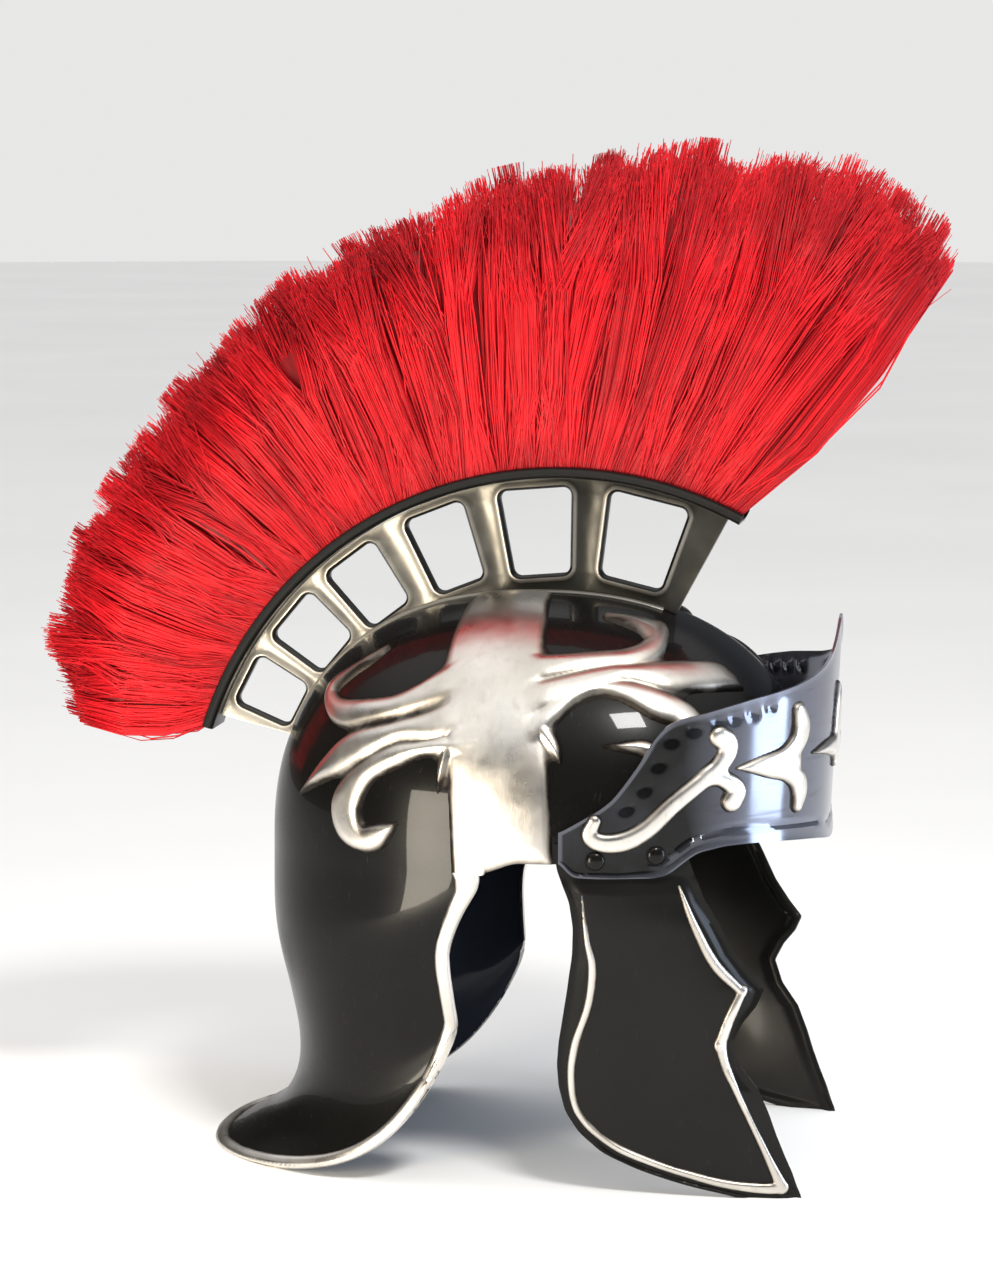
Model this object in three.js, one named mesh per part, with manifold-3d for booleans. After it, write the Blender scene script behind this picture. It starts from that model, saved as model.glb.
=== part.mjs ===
// Roman legionary helmet with a fore-and-aft brush crest.
// Millimetres. +X is the front of the helmet, +Y its left side, +Z up; it stands on z = 0.
import * as THREE from 'three';
import * as BufferGeometryUtils from 'three/addons/utils/BufferGeometryUtils.js';
import Module from 'manifold-3d';

const wasm = await Module();
wasm.setup();

// Driving dimensions
const SHEET = 1.2;
const GAP = 0.3;
const SQUARENESS = 2.3;
const BOWL = { halfLength: 119, halfWidth: 98, rise: 106, base: 138 };
const CREST = { x: 8, z: 130, topRadius: 169, front: 62.5, rear: 162, steps: 20 };
const HOLDER = {
  halfThickness: 3, front: 64.5, rear: 160, footFront: 56, footRear: -113.3, footGap: 0.35,
  windowTop: 159.5, corner: 3.5,
};
const CHANNEL = { halfWidth: 12, wall: 1.5, depth: 5 };
const VISOR = { halfLength: 122, halfWidth: 101, flareFront: 0.05, flareSide: 0.02, arcRadius: 112 };
const CHEEK_FOOT = { halfLength: 210, halfWidth: 82 };
const RELIEF = {
  lineLift: GAP, lineHeight: 1, edgeLift: 0.5, edgeHeight: 1, scrollLift: 0.8, scrollHeight: 1.6,
  browLift: 0.5, browHeight: 1.5, holderClearance: 7, narrowest: 0.5, cornerGap: 2,
};
const STROKE_ROWS = { bowl: 1.25, brow: 1.2, cheek: 1 };
const ROUND_END = { reach: 0.8, shoulder: 0.97, tip: 0.45 };
const BOWL_EDGE = { archRear: 92, archFront: 56, archHeight: 141, behindBand: 2 };
const NECK_SWEEP = { top: 2, rim: 5 };
const RIVET = {
  headRadius: 4, headHeight: 2.4, headGap: 0.6, shank: 2, hole: 2.3,
  tailRadius: 3.4, tailHeight: 1.4, tailGap: 1.3, tailTaper: 0.85,
  dome: [0.45, 0.8, 1], segments: 8, bore: 20,
};
const RIVETS = [
  { name: 'rear', x: 36, z: 145.5 },
  { name: 'front', x: 60, z: 147.5 },
];

// Windows of the crest holder, rear to front: angles about the crest centre and inner radius
const WINDOWS = [
  { from: 148.6, to: 157.2, inner: 134.0 },
  { from: 135.5, to: 145.0, inner: 132.5 },
  { from: 122.4, to: 131.8, inner: 129.0 },
  { from: 106.7, to: 116.5, inner: 125.0 },
  { from: 89.2, to: 100.7, inner: 122.0 },
  { from: 70.4, to: 83.0, inner: 122.3 },
];

// Neck guard, ear arch down to the flared rim: side edge, rear centre, and width of the silver edge
const NECK = [
  { sideX: -9.6, sideY: 97.8, sideZ: 138.5, rearX: -119.0, rearZ: 138.5, edge: 14 },
  { sideX: -17.0, sideY: 97.0, sideZ: 132.0, rearX: -119.5, rearZ: 124.0, edge: 9 },
  { sideX: -23.0, sideY: 95.5, sideZ: 123.0, rearX: -118.5, rearZ: 106.0, edge: 7 },
  { sideX: -26.0, sideY: 92.0, sideZ: 110.0, rearX: -115.5, rearZ: 88.0, edge: 6 },
  { sideX: -27.0, sideY: 88.0, sideZ: 96.0, rearX: -111.5, rearZ: 70.0, edge: 6 },
  { sideX: -26.0, sideY: 84.5, sideZ: 82.0, rearX: -108.5, rearZ: 53.0, edge: 6 },
  { sideX: -25.0, sideY: 82.5, sideZ: 73.0, rearX: -108.5, rearZ: 39.0, edge: 6 },
  { sideX: -25.0, sideY: 82.5, sideZ: 69.0, rearX: -112.0, rearZ: 27.0, edge: 6 },
  { sideX: -25.5, sideY: 83.0, sideZ: 66.5, rearX: -119.5, rearZ: 16.5, edge: 6 },
  { sideX: -26.0, sideY: 84.0, sideZ: 64.5, rearX: -132.5, rearZ: 8.0, edge: 6 },
  { sideX: -27.0, sideY: 85.0, sideZ: 62.5, rearX: -147.0, rearZ: 0.0, edge: 6 },
];

// Brow band: height of its two edges by the angle from the front
const BROW = [
  { angle: 0, top: 238, bottom: 141 },
  { angle: 3, top: 233, bottom: 141.5 },
  { angle: 6, top: 227, bottom: 142.5 },
  { angle: 9, top: 222.5, bottom: 143.5 },
  { angle: 13, top: 219, bottom: 145 },
  { angle: 18, top: 216.2, bottom: 146.5 },
  { angle: 24, top: 213.7, bottom: 148 },
  { angle: 30, top: 212, bottom: 149.3 },
  { angle: 36, top: 210.4, bottom: 150 },
  { angle: 42, top: 208, bottom: 150 },
  { angle: 48, top: 205.3, bottom: 148 },
  { angle: 51, top: 204.3, bottom: 144 },
  { angle: 54, top: 202.5, bottom: 139.5 },
  { angle: 57, top: 197, bottom: 138 },
  { angle: 60, top: 187, bottom: 138 },
  { angle: 63, top: 178.5, bottom: 138 },
  { angle: 66, top: 171, bottom: 138 },
  { angle: 69, top: 166.5, bottom: 138 },
  { angle: 75, top: 160, bottom: 138.5 },
  { angle: 78, top: 157, bottom: 145 },
];

// Cheek guard sections from the hidden top down to the tip: rear and front edge
const CHEEK = [
  { z: 152, rear: 19, front: 71 },
  { z: 141, rear: 20.5, front: 74.5 },
  { z: 128, rear: 25.5, front: 79 },
  { z: 117, rear: 27, front: 85 },
  { z: 105, rear: 26.5, front: 91 },
  { z: 96, rear: 25, front: 97.5 },
  { z: 89, rear: 24, front: 103.5 },
  { z: 82, rear: 22.7, front: 100.5 },
  { z: 75, rear: 21.5, front: 95 },
  { z: 67, rear: 20, front: 91 },
  { z: 57, rear: 19, front: 94.5 },
  { z: 47, rear: 19.5, front: 102 },
  { z: 36, rear: 22, front: 106.5 },
  { z: 27, rear: 27.5, front: 109.5 },
  { z: 18, rear: 37.5, front: 113 },
  { z: 11, rear: 53, front: 116 },
  { z: 5, rear: 72, front: 118 },
  { z: 1.5, rear: 88, front: 119.5 },
  { z: -0.4, rear: 97, front: 120 },
];

// Plume: locks of bristle, and its sections from the root to the tips as shares of the reach
const PLUME = {
  locks: 19, perLock: 3, notch: 9, ragged: 5, groove: 0.3, uneven: 1.5, margin: 0.5, front: 56.5, rear: 167,
};
const PLUME_ROWS = [
  { share: 0, half: 10.2, ridge: 0 },
  { share: 0.05, half: 10.2, ridge: 0.1 },
  { share: 0.42, half: 16.6, ridge: 0.65 },
  { share: 0.78, half: 16.6, ridge: 1 },
  { share: 1, half: 6, ridge: 1 },
];

// Outline of the plume about the crest centre: reach of the bristle tips by angle
const REACH = [
  { angle: 56, reach: 298 },
  { angle: 60, reach: 317 },
  { angle: 66, reach: 324 },
  { angle: 72, reach: 315 },
  { angle: 80, reach: 309 },
  { angle: 88, reach: 298 },
  { angle: 97, reach: 292 },
  { angle: 103, reach: 282 },
  { angle: 118, reach: 275 },
  { angle: 131, reach: 263 },
  { angle: 145, reach: 255 },
  { angle: 157, reach: 250 },
  { angle: 163, reach: 236 },
  { angle: 168, reach: 222 },
];

// Silver scrolls of one side of the bowl, as strokes in side view: x, z and half width
const TRUNK = [
  { z: 241.6, rear: -30, front: 5 },
  { z: 240, rear: -31, front: 6 },
  { z: 236.5, rear: -31.5, front: 7 },
  { z: 231, rear: -32.5, front: 8 },
  { z: 224, rear: -33, front: 9 },
  { z: 212, rear: -31, front: 11 },
  { z: 198, rear: -28.5, front: 13 },
  { z: 180, rear: -26.5, front: 16 },
  { z: 160, rear: -25, front: 17.5 },
  { z: 141.5, rear: -24, front: 18.5 },
];
const SCROLLS = {
  rearVolute: [
    [-16, 222, 6], [-33, 212, 5.8], [-50, 204, 4.5], [-66, 200, 4.9], [-77, 198, 5.4],
    [-84, 202, 4.1], [-84, 207, 2.9], [-77, 213, 2.1], [-68, 219, 1.6], [-61, 224, 0.9],
  ],
  rearLeaf: [
    [-14, 209, 6.6], [-31, 198, 6.6], [-49, 194, 4.5], [-68, 186, 6.2], [-80, 177, 4.9], [-96, 163, 0.6],
  ],
  rearHook: [
    [-15, 191, 5], [-37, 188, 3.7], [-50, 184, 4.9], [-63, 176, 4.9], [-71, 164, 7],
    [-70, 154, 7], [-64, 149.5, 5.8], [-57, 151, 5.4], [-48, 157, 0.8],
  ],
  frontVolute: [
    [0, 219, 6], [28, 222.5, 3.7], [44, 223.5, 4], [52, 226.5, 4.8], [52.5, 230.5, 4],
    [47.5, 233.6, 2.4], [40, 236, 1.8], [30, 238, 1],
  ],
  frontLeaf: [
    [2, 207, 6.6], [34, 216, 4.9], [45, 218, 3.6], [62, 216, 5.8], [74, 215, 5.2], [83, 212, 2.9],
    [88, 209, 0.6],
  ],
  frontHook: [
    [8, 196, 5], [16, 204, 4.6], [24, 210, 3.4], [34, 213, 3], [46, 211, 4.1], [58, 206, 5.4],
    [67, 202, 4.9], [72, 196, 4.5], [67, 190.5, 3.7], [58, 189, 3.3], [51, 190.5, 2.9], [38, 191, 0.8],
  ],
};

// Silver relief of the brow band, as strokes: angle from the front, z and half width
const BROW_STROKES = {
  side: [
    [
      [70, 163, 2.7], [71.2, 157, 3.3], [68.8, 152.8, 3.3], [63.9, 153, 3.7], [58.7, 158, 3.3],
      [53.5, 168, 3.3], [48.4, 176, 3.3], [44.5, 182, 3.7], [42, 188, 4], [41.9, 194, 4.3], [44, 197, 3.6],
    ],
    [[45.5, 180, 3.3], [42.2, 177.5, 3.5], [39.4, 173, 4.2], [40.5, 167.5, 4.2]],
  ],
  arrow: [
    [[39.5, 182, 0.8], [35.1, 182, 3.3], [29.8, 181.5, 5.8], [24.5, 181.5, 4.1]],
    [[30, 182, 3.7], [24.5, 188, 5], [22.6, 195, 5.5], [23.6, 203, 3.6]],
    [[30, 181, 3.7], [24, 175, 5], [22.2, 169, 5], [22.8, 162.5, 3.4]],
  ],
  centre: [
    [[-17.5, 183, 0.8], [-10, 183, 3], [0, 181, 5], [10, 183, 3], [17.5, 183, 0.8]],
    [[0, 174, 3], [0, 186, 6], [0, 198, 4.5], [0, 208, 0.8]],
  ],
};

// Silver ridges of a cheek guard, as strokes in side view: x, z and half width
const CHEEK_LINES = [
  [
    [31, 131, 0.7], [33, 112, 1.2], [35, 100, 1.6], [33, 84, 1.6], [27, 66, 1.6], [25, 50, 1.6],
    [27.5, 36, 1.6], [37, 25.5, 1.6], [50, 18, 1.6], [70, 11, 1.6], [89, 6, 2], [104, 4.4, 2.4],
    [112, 4.6, 2.6],
  ],
  [[69.5, 134, 0.8], [76, 117, 1.6], [84, 101, 2], [95, 88.5, 1.8]],
  [[95.5, 89.5, 1.8], [90, 77, 2.2], [86.5, 66, 2.3]],
  [[86.6, 67, 2.3], [89, 57, 1.7], [97, 38, 1.5], [106, 18, 1.7], [112, 4.6, 2.6]],
];

// Colours and finishes
const FINISH = {
  blackPaint: { color: 0x14130f, roughness: 0.28, metalness: 0.3 },
  gunmetal: { color: 0x56544a, roughness: 0.4, metalness: 0.7 },
  brightSteel: { color: 0xcfcabf, roughness: 0.35, metalness: 0.9 },
  darkSteel: { color: 0x3a3f52, roughness: 0.25, metalness: 0.8 },
  redBristle: { color: 0xd01722, roughness: 0.8, metalness: 0.0 },
};

// General helpers

const rad = THREE.MathUtils.degToRad;

function lookUp(table, key, column, value) {
  const rows = [...table].sort((a, b) => a[key] - b[key]);
  if (value <= rows[0][key]) return rows[0][column];
  for (let i = 1; i < rows.length; i++) {
    if (value <= rows[i][key]) {
      const share = (value - rows[i - 1][key]) / (rows[i][key] - rows[i - 1][key]);
      return THREE.MathUtils.lerp(rows[i - 1][column], rows[i][column], share);
    }
  }
  return rows[rows.length - 1][column];
}

function smooth(value, low, high) {
  return THREE.MathUtils.smoothstep(value, low, high);
}

// Distance from the axis of a superellipse with half axes a and b, along an angle
function superRadius(angle, a, b) {
  const c = Math.abs(Math.cos(angle) / a) ** SQUARENESS;
  const s = Math.abs(Math.sin(angle) / b) ** SQUARENESS;
  return (c + s) ** (-1 / SQUARENESS);
}

function toSolid(geometry) {
  const bare = geometry.clone();
  bare.deleteAttribute('normal');
  bare.deleteAttribute('uv');
  const merged = BufferGeometryUtils.mergeVertices(bare, 1e-4);
  const index = Uint32Array.from(merged.index.array);
  const points = Float32Array.from(merged.attributes.position.array);
  return new wasm.Manifold(new wasm.Mesh({ numProp: 3, vertProperties: points, triVerts: index }));
}

function toGeometry(solid) {
  const mesh = solid.getMesh();
  const geometry = new THREE.BufferGeometry();
  geometry.setAttribute('position', new THREE.BufferAttribute(Float32Array.from(mesh.vertProperties), 3));
  geometry.setIndex(new THREE.BufferAttribute(Uint32Array.from(mesh.triVerts), 1));
  return geometry;
}

// Surface patch from a grid of points; a row or column may close on itself
function patch(grid, closed = false) {
  const points = grid.flat();
  const across = grid[0].length;
  const faces = [];
  for (let i = 0; i + 1 < grid.length; i++) {
    for (let j = 0; j + (closed ? 0 : 1) < across; j++) {
      const next = (j + 1) % across;
      const a = i * across + j;
      const b = i * across + next;
      faces.push([a, a + across, b], [b, a + across, b + across]);
    }
  }
  return { points, faces };
}

// The same grid with its face turned over, for the other side of the helmet
function flip(grid) {
  return grid.map((row) => [...row].reverse());
}

// Vertex normals of a patch, each the sum of the normals of its faces
function patchNormals({ points, faces }) {
  const normals = points.map(() => new THREE.Vector3());
  for (const [a, b, c] of faces) {
    const ab = points[b].clone().sub(points[a]);
    const ac = points[c].clone().sub(points[a]);
    const normal = ab.cross(ac);
    for (const corner of [a, b, c]) normals[corner].add(normal);
  }
  return normals.map((normal) => normal.normalize());
}

// Closed surface from points and triangles, turned so that its faces look outward
function outward(points, triangles) {
  const geometry = new THREE.BufferGeometry();
  const values = points.flatMap((p) => p.toArray());
  geometry.setAttribute('position', new THREE.Float32BufferAttribute(values, 3));
  geometry.setIndex(triangles.flat());
  if (toSolid(geometry).volume() < 0) geometry.setIndex(triangles.map(([a, b, c]) => [c, b, a]).flat());
  return geometry;
}

// Closed solid between two offsets of a patch, with walls along its free edges
function thicken(surface, low, high) {
  const { points, faces } = surface;
  const normals = patchNormals(surface);
  const shift = (distance) => points.map((p, i) => p.clone().addScaledVector(normals[i], distance));
  const vertices = [...shift(high), ...shift(low)];
  const count = points.length;
  const triangles = [];
  const edges = new Map();
  for (const [a, b, c] of faces) {
    triangles.push([a, b, c], [c + count, b + count, a + count]);
    for (const [from, to] of [[a, b], [b, c], [c, a]]) edges.set(`${from},${to}`, [from, to]);
  }
  for (const [from, to] of edges.values()) {
    if (edges.has(`${to},${from}`)) continue;
    triangles.push([to, from, from + count], [to, from + count, to + count]);
  }
  return toSolid(outward(vertices, triangles));
}

// Strokes: a centre line with a width, laid on a surface and made solid

function strokeGrid(stroke, along, across, place) {
  const middle = stroke.map(([u, v]) => new THREE.Vector3(u, v, 0));
  const line = new THREE.CatmullRomCurve3(middle, false, 'centripetal');
  const widths = new THREE.CatmullRomCurve3(stroke.map(([, , w], i) => new THREE.Vector3(i, w, 0)));
  const count = Math.max(2, Math.round(along * (stroke.length - 1)));
  const grid = [];
  for (let i = 0; i <= count; i++) {
    const t = i / count;
    const centre = line.getPoint(t);
    const tangent = line.getTangent(t);
    const half = Math.max(RELIEF.narrowest, widths.getPoint(t).y);
    const row = [];
    for (let j = 0; j <= across; j++) {
      const side = half * (1 - (2 * j) / across);
      row.push(place(centre.x - tangent.y * side, centre.y + tangent.x * side));
    }
    grid.push(row);
  }
  return grid;
}

// A stroke with a blunt round end in place of its last point
function roundEnd(stroke) {
  const [u, v, half] = stroke[stroke.length - 1];
  const [pu, pv] = stroke[stroke.length - 2];
  const length = Math.hypot(u - pu, v - pv);
  const further = ROUND_END.reach * half / length;
  const end = [u + (u - pu) * further, v + (v - pv) * further, half * ROUND_END.tip];
  return [...stroke.slice(0, -1), [u, v, half * ROUND_END.shoulder], end];
}

function joined(solids) {
  return solids.reduce((sum, solid) => sum.add(solid));
}

// Bowl and neck guard

const COLUMNS = 48;
const DOME_ROWS = 6;
const NECK_FIRST = 13;
const NECK_LAST = COLUMNS - NECK_FIRST;

function bowlPoint(angle, polar) {
  const ring = superRadius(angle, BOWL.halfLength, BOWL.halfWidth);
  const spread = ring * Math.sin(polar) ** (2 / SQUARENESS);
  const height = BOWL.rise * Math.max(0, Math.cos(polar)) ** (2 / SQUARENESS);
  return new THREE.Vector3(spread * Math.cos(angle), spread * Math.sin(angle), BOWL.base + height);
}

// Lower edge of the bowl: behind the brow band, then the ear arch, then the neck guard's top row
function bowlEdge(degrees) {
  const fromFront = Math.min(degrees, 360 - degrees);
  const { archRear, archFront, archHeight, behindBand } = BOWL_EDGE;
  if (fromFront > archRear) return NECK[0].sideZ;
  const hidden = lookUp(BROW, 'angle', 'bottom', fromFront) + behindBand;
  return fromFront < archFront ? Math.max(hidden, archHeight) : archHeight;
}

// Side of the bowl as seen from the side, at x and z
function bowlSide(x, z) {
  const height = Math.max(0, z - BOWL.base) / BOWL.rise;
  const rest = 1 - Math.abs(x / BOWL.halfLength) ** SQUARENESS - height ** SQUARENESS;
  return -BOWL.halfWidth * Math.max(0, rest) ** (1 / SQUARENESS);
}

// Height of the bowl at x, a distance y from the middle plane
function bowlHeight(x, y) {
  const along = Math.abs(x / BOWL.halfLength) ** SQUARENESS + (y / BOWL.halfWidth) ** SQUARENESS;
  return BOWL.base + BOWL.rise * Math.max(0, 1 - along) ** (1 / SQUARENESS);
}

function neckPoint(row, t) {
  const share = NECK.indexOf(row) / (NECK.length - 1);
  const angle = t * Math.PI / 2;
  const radius = superRadius(angle, row.sideX - row.rearX, row.sideY);
  const x = row.sideX - radius * Math.cos(angle);
  const sweep = THREE.MathUtils.lerp(NECK_SWEEP.top, NECK_SWEEP.rim, share);
  const z = THREE.MathUtils.lerp(row.rearZ, row.sideZ, Math.abs(t) ** sweep);
  return new THREE.Vector3(x, -radius * Math.sin(angle), z);
}

function skullGrids() {
  const dome = [];
  for (let i = 1; i <= DOME_ROWS; i++) {
    const row = [];
    for (let k = 0; k < COLUMNS; k++) {
      const angle = k * 2 * Math.PI / COLUMNS;
      const edge = (bowlEdge(THREE.MathUtils.radToDeg(angle)) - BOWL.base) / BOWL.rise;
      const polar = Math.acos(edge ** (SQUARENESS / 2)) * (i / DOME_ROWS);
      row.push(bowlPoint(angle, polar));
    }
    dome.push(row);
  }
  const span = NECK_LAST - NECK_FIRST;
  const neck = [dome[DOME_ROWS - 1].slice(NECK_FIRST, NECK_LAST + 1)];
  for (const row of NECK.slice(1)) {
    const line = [];
    for (let j = 0; j <= span; j++) line.push(neckPoint(row, (2 * j) / span - 1));
    neck.push(line);
  }
  return { dome, neck };
}

function skullSurface({ dome, neck }) {
  const body = patch(dome, true);
  const crown = body.points.length;
  const points = [...body.points, new THREE.Vector3(0, 0, BOWL.base + BOWL.rise)];
  const faces = [...body.faces];
  for (let k = 0; k < COLUMNS; k++) faces.push([crown, k, (k + 1) % COLUMNS]);
  const span = NECK_LAST - NECK_FIRST + 1;
  const start = points.length;
  const topRow = (DOME_ROWS - 1) * COLUMNS + NECK_FIRST;
  const number = (i, j) => (i === 0 ? topRow + j : start + (i - 1) * span + j);
  for (const line of neck.slice(1)) points.push(...line);
  for (let i = 0; i + 1 < neck.length; i++) {
    for (let j = 0; j + 1 < span; j++) {
      faces.push([number(i, j), number(i + 1, j), number(i, j + 1)]);
      faces.push([number(i, j + 1), number(i + 1, j), number(i + 1, j + 1)]);
    }
  }
  return { points, faces };
}

// Silver edge of the ear arches and of the neck guard's rim

// Point at a distance along a line of points
function walk(line, distance) {
  let left = distance;
  for (let i = 0; i + 1 < line.length; i++) {
    const length = line[i].distanceTo(line[i + 1]);
    if (length >= left) return line[i].clone().lerp(line[i + 1], left / length);
    left -= length;
  }
  return line[line.length - 1].clone();
}

function neckEdgeGrid(neck) {
  const rim = neck[neck.length - 1];
  const last = rim.length - 1;
  const upColumn = (j, distance) => walk(neck.map((line) => line[j]).reverse(), distance);
  const width = NECK[NECK.length - 1].edge;
  const corner = rim[0].z + width;
  const side = (mirror) => {
    const rows = [];
    neck.forEach((line, i) => {
      const ordered = mirror ? [...line].reverse() : line;
      if (i === 0 || ordered[0].z <= corner + RELIEF.cornerGap) return;
      rows.push([ordered[0], walk(ordered, NECK[i].edge)]);
    });
    const near = upColumn(mirror ? last : 0, width);
    const next = upColumn(mirror ? last - 1 : 1, width);
    rows.push([rim[mirror ? last : 0], walk([near, next], width)]);
    return rows;
  };
  const bottom = [];
  for (let j = 1; j < last; j++) bottom.push([rim[j], upColumn(j, width)]);
  return [...side(false), ...bottom, ...side(true).reverse()];
}

// Crest: pierced holder, channel and plume, all about the crest centre

function crestPoint(degrees, radius) {
  const angle = rad(degrees);
  return new THREE.Vector2(CREST.x + radius * Math.cos(angle), CREST.z + radius * Math.sin(angle));
}

// Plate standing in the XZ plane, from a shape drawn in x and z
function plate(shape, halfWidth) {
  const settings = { depth: 2 * halfWidth, bevelEnabled: false, curveSegments: 2 };
  const geometry = new THREE.ExtrudeGeometry(shape, settings);
  geometry.translate(0, 0, -halfWidth);
  geometry.rotateX(Math.PI / 2);
  return geometry;
}

function arc(from, to, radius, steps) {
  const points = [];
  for (let i = 0; i <= steps; i++) {
    points.push(crestPoint(THREE.MathUtils.lerp(from, to, i / steps), radius));
  }
  return points;
}

function windowHole({ from, to, inner }) {
  const shape = new THREE.Path();
  const cornerAngle = (radius) => THREE.MathUtils.radToDeg(HOLDER.corner / radius);
  const top = HOLDER.windowTop;
  const put = (degrees, radius) => crestPoint(degrees, radius).toArray();
  shape.moveTo(...put(from, top - HOLDER.corner));
  shape.quadraticCurveTo(...put(from, top), ...put(from + cornerAngle(top), top));
  shape.lineTo(...put((from + to) / 2, top));
  shape.lineTo(...put(to - cornerAngle(top), top));
  shape.quadraticCurveTo(...put(to, top), ...put(to, top - HOLDER.corner));
  shape.lineTo(...put(to, inner + HOLDER.corner));
  shape.quadraticCurveTo(...put(to, inner), ...put(to - cornerAngle(inner), inner));
  shape.lineTo(...put(from + cornerAngle(inner), inner));
  shape.quadraticCurveTo(...put(from, inner), ...put(from, inner + HOLDER.corner));
  shape.closePath();
  return shape;
}

function holderGeometry() {
  const webBottom = CREST.topRadius - CHANNEL.depth - GAP;
  const outer = arc(HOLDER.rear, HOLDER.front, webBottom, CREST.steps);
  const { footFront, footRear } = HOLDER;
  const inner = [];
  const step = 0.1;
  const first = Math.acos(footFront / BOWL.halfLength);
  const last = Math.acos(footRear / BOWL.halfLength);
  for (let i = 0; i <= CREST.steps; i++) {
    const turn = THREE.MathUtils.lerp(first, last, i / CREST.steps);
    const x = BOWL.halfLength * Math.cos(turn);
    const slope = (bowlHeight(x + step, 0) - bowlHeight(x - step, 0)) / (2 * step);
    const scale = HOLDER.footGap / Math.hypot(1, slope);
    inner.push(new THREE.Vector2(x - slope * scale, bowlHeight(x, 0) + scale));
  }
  const shape = new THREE.Shape([...outer, ...inner]);
  shape.holes = WINDOWS.map(windowHole);
  return plate(shape, HOLDER.halfThickness);
}

// Ring sector about the crest centre, as thick as twice the half width
function sector(inner, outer, halfWidth, from, to) {
  const { steps } = CREST;
  const shape = new THREE.Shape([...arc(from, to, outer, steps), ...arc(to, from, inner, steps)]);
  return toSolid(plate(shape, halfWidth));
}

function channelGeometry() {
  const { topRadius, front, rear } = CREST;
  const web = topRadius - CHANNEL.depth;
  const block = sector(web, topRadius, CHANNEL.halfWidth, front, rear);
  const inside = CHANNEL.halfWidth - CHANNEL.wall;
  const over = 2;
  const pocket = sector(web + CHANNEL.wall, topRadius + over, inside, front - over, rear + over);
  return toGeometry(block.subtract(pocket));
}

// Plume: locks of bristle side by side, fused into one backing that fills the channel
function plumeGeometry() {
  const base = CREST.topRadius - CHANNEL.depth + CHANNEL.wall + GAP;
  const { perLock } = PLUME;
  const columns = PLUME.locks * perLock;
  const side = (sign) => PLUME_ROWS.map(({ share, half, ridge }) => {
    const line = [];
    for (let k = 0; k <= columns; k++) {
      const lock = Math.round(k / perLock);
      const valley = k % perLock === 0 ? 1 : 0;
      const along = k / columns;
      const root = THREE.MathUtils.lerp(CREST.front + PLUME.margin, CREST.rear - PLUME.margin, along);
      const tip = THREE.MathUtils.lerp(PLUME.front, PLUME.rear, along);
      const ragged = PLUME.ragged * Math.sin(lock * 2.4) * Math.sin(lock * 5.1);
      const reach = lookUp(REACH, 'angle', 'reach', tip) + ragged - valley * PLUME.notch;
      const radius = THREE.MathUtils.lerp(base, reach, share);
      const lean = THREE.MathUtils.lerp(root, tip, smooth(share, 0, 1));
      const point = crestPoint(lean, radius);
      const fullness = valley ? -PLUME.groove * half : PLUME.uneven * Math.sin(lock * 3.7);
      const thick = half + ridge * fullness;
      line.push(new THREE.Vector3(point.x, sign * thick, point.y));
    }
    return line;
  });
  const right = side(-1);
  const left = side(1);
  const loops = [];
  for (let k = 0; k <= columns; k++) {
    loops.push([...right.map((line) => line[k]), ...left.map((line) => line[k]).reverse()]);
  }
  const body = patch(loops, true);
  const around = 2 * PLUME_ROWS.length;
  const faces = [...body.faces];
  const lastRow = columns * around;
  for (let i = 0; i + 1 < PLUME_ROWS.length; i++) {
    const opposite = around - 1 - i;
    faces.push([i, i + 1, opposite], [i + 1, opposite - 1, opposite]);
    faces.push([lastRow + i, lastRow + opposite, lastRow + i + 1]);
    faces.push([lastRow + i + 1, lastRow + opposite, lastRow + opposite - 1]);
  }
  return outward(body.points, faces);
}

// Brow band

function visorPoint(degrees, z) {
  const rise = z - BOWL.base;
  const a = VISOR.halfLength + rise * VISOR.flareFront;
  const b = VISOR.halfWidth + rise * VISOR.flareSide;
  const angle = rad(degrees);
  const radius = superRadius(angle, a, b);
  return new THREE.Vector3(radius * Math.cos(angle), -radius * Math.sin(angle), z);
}

function visorSurface() {
  const column = (degrees, { top, bottom }) => [visorPoint(degrees, bottom), visorPoint(degrees, top)];
  const right = BROW.map((row) => column(row.angle, row));
  const left = BROW.slice(1).map((row) => column(-row.angle, row));
  return patch(flip([...left.reverse(), ...right]));
}

// Relief strokes of the brow band are drawn in millimetres of arc and height
const ARC_PER_DEGREE = rad(1) * VISOR.arcRadius;

function browRelief(strokes, mirror, across) {
  const place = (arcLength, z) => visorPoint(mirror * arcLength / ARC_PER_DEGREE, z);
  const { browLift, browHeight } = RELIEF;
  const solids = strokes.map((stroke) => {
    const flat = roundEnd(stroke.map(([degrees, z, half]) => [degrees * ARC_PER_DEGREE, z, half]));
    const grid = strokeGrid(flat, STROKE_ROWS.brow, across, place);
    return thicken(patch(mirror > 0 ? grid : flip(grid)), browLift, browLift + browHeight);
  });
  return joined(solids);
}

// Cheek guards

function cheekSide(x, z) {
  const down = smooth((BOWL.base - z) / BOWL.base, 0, 1);
  const halfWidth = THREE.MathUtils.lerp(BOWL.halfWidth + GAP + SHEET, CHEEK_FOOT.halfWidth, down);
  const halfLength = THREE.MathUtils.lerp(BOWL.halfLength + GAP + SHEET, CHEEK_FOOT.halfLength, down);
  const rest = 1 - (x / halfLength) ** SQUARENESS;
  return halfWidth * Math.max(0, rest) ** (1 / SQUARENESS);
}

function cheekSurface(side) {
  const cells = 4;
  const grid = CHEEK.map(({ z, rear, front }) => {
    const line = [];
    for (let j = 0; j <= cells; j++) {
      const x = THREE.MathUtils.lerp(rear, front, j / cells);
      line.push(new THREE.Vector3(x, side * cheekSide(x, z), z));
    }
    return line;
  });
  return patch(side < 0 ? grid : flip(grid));
}

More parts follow.
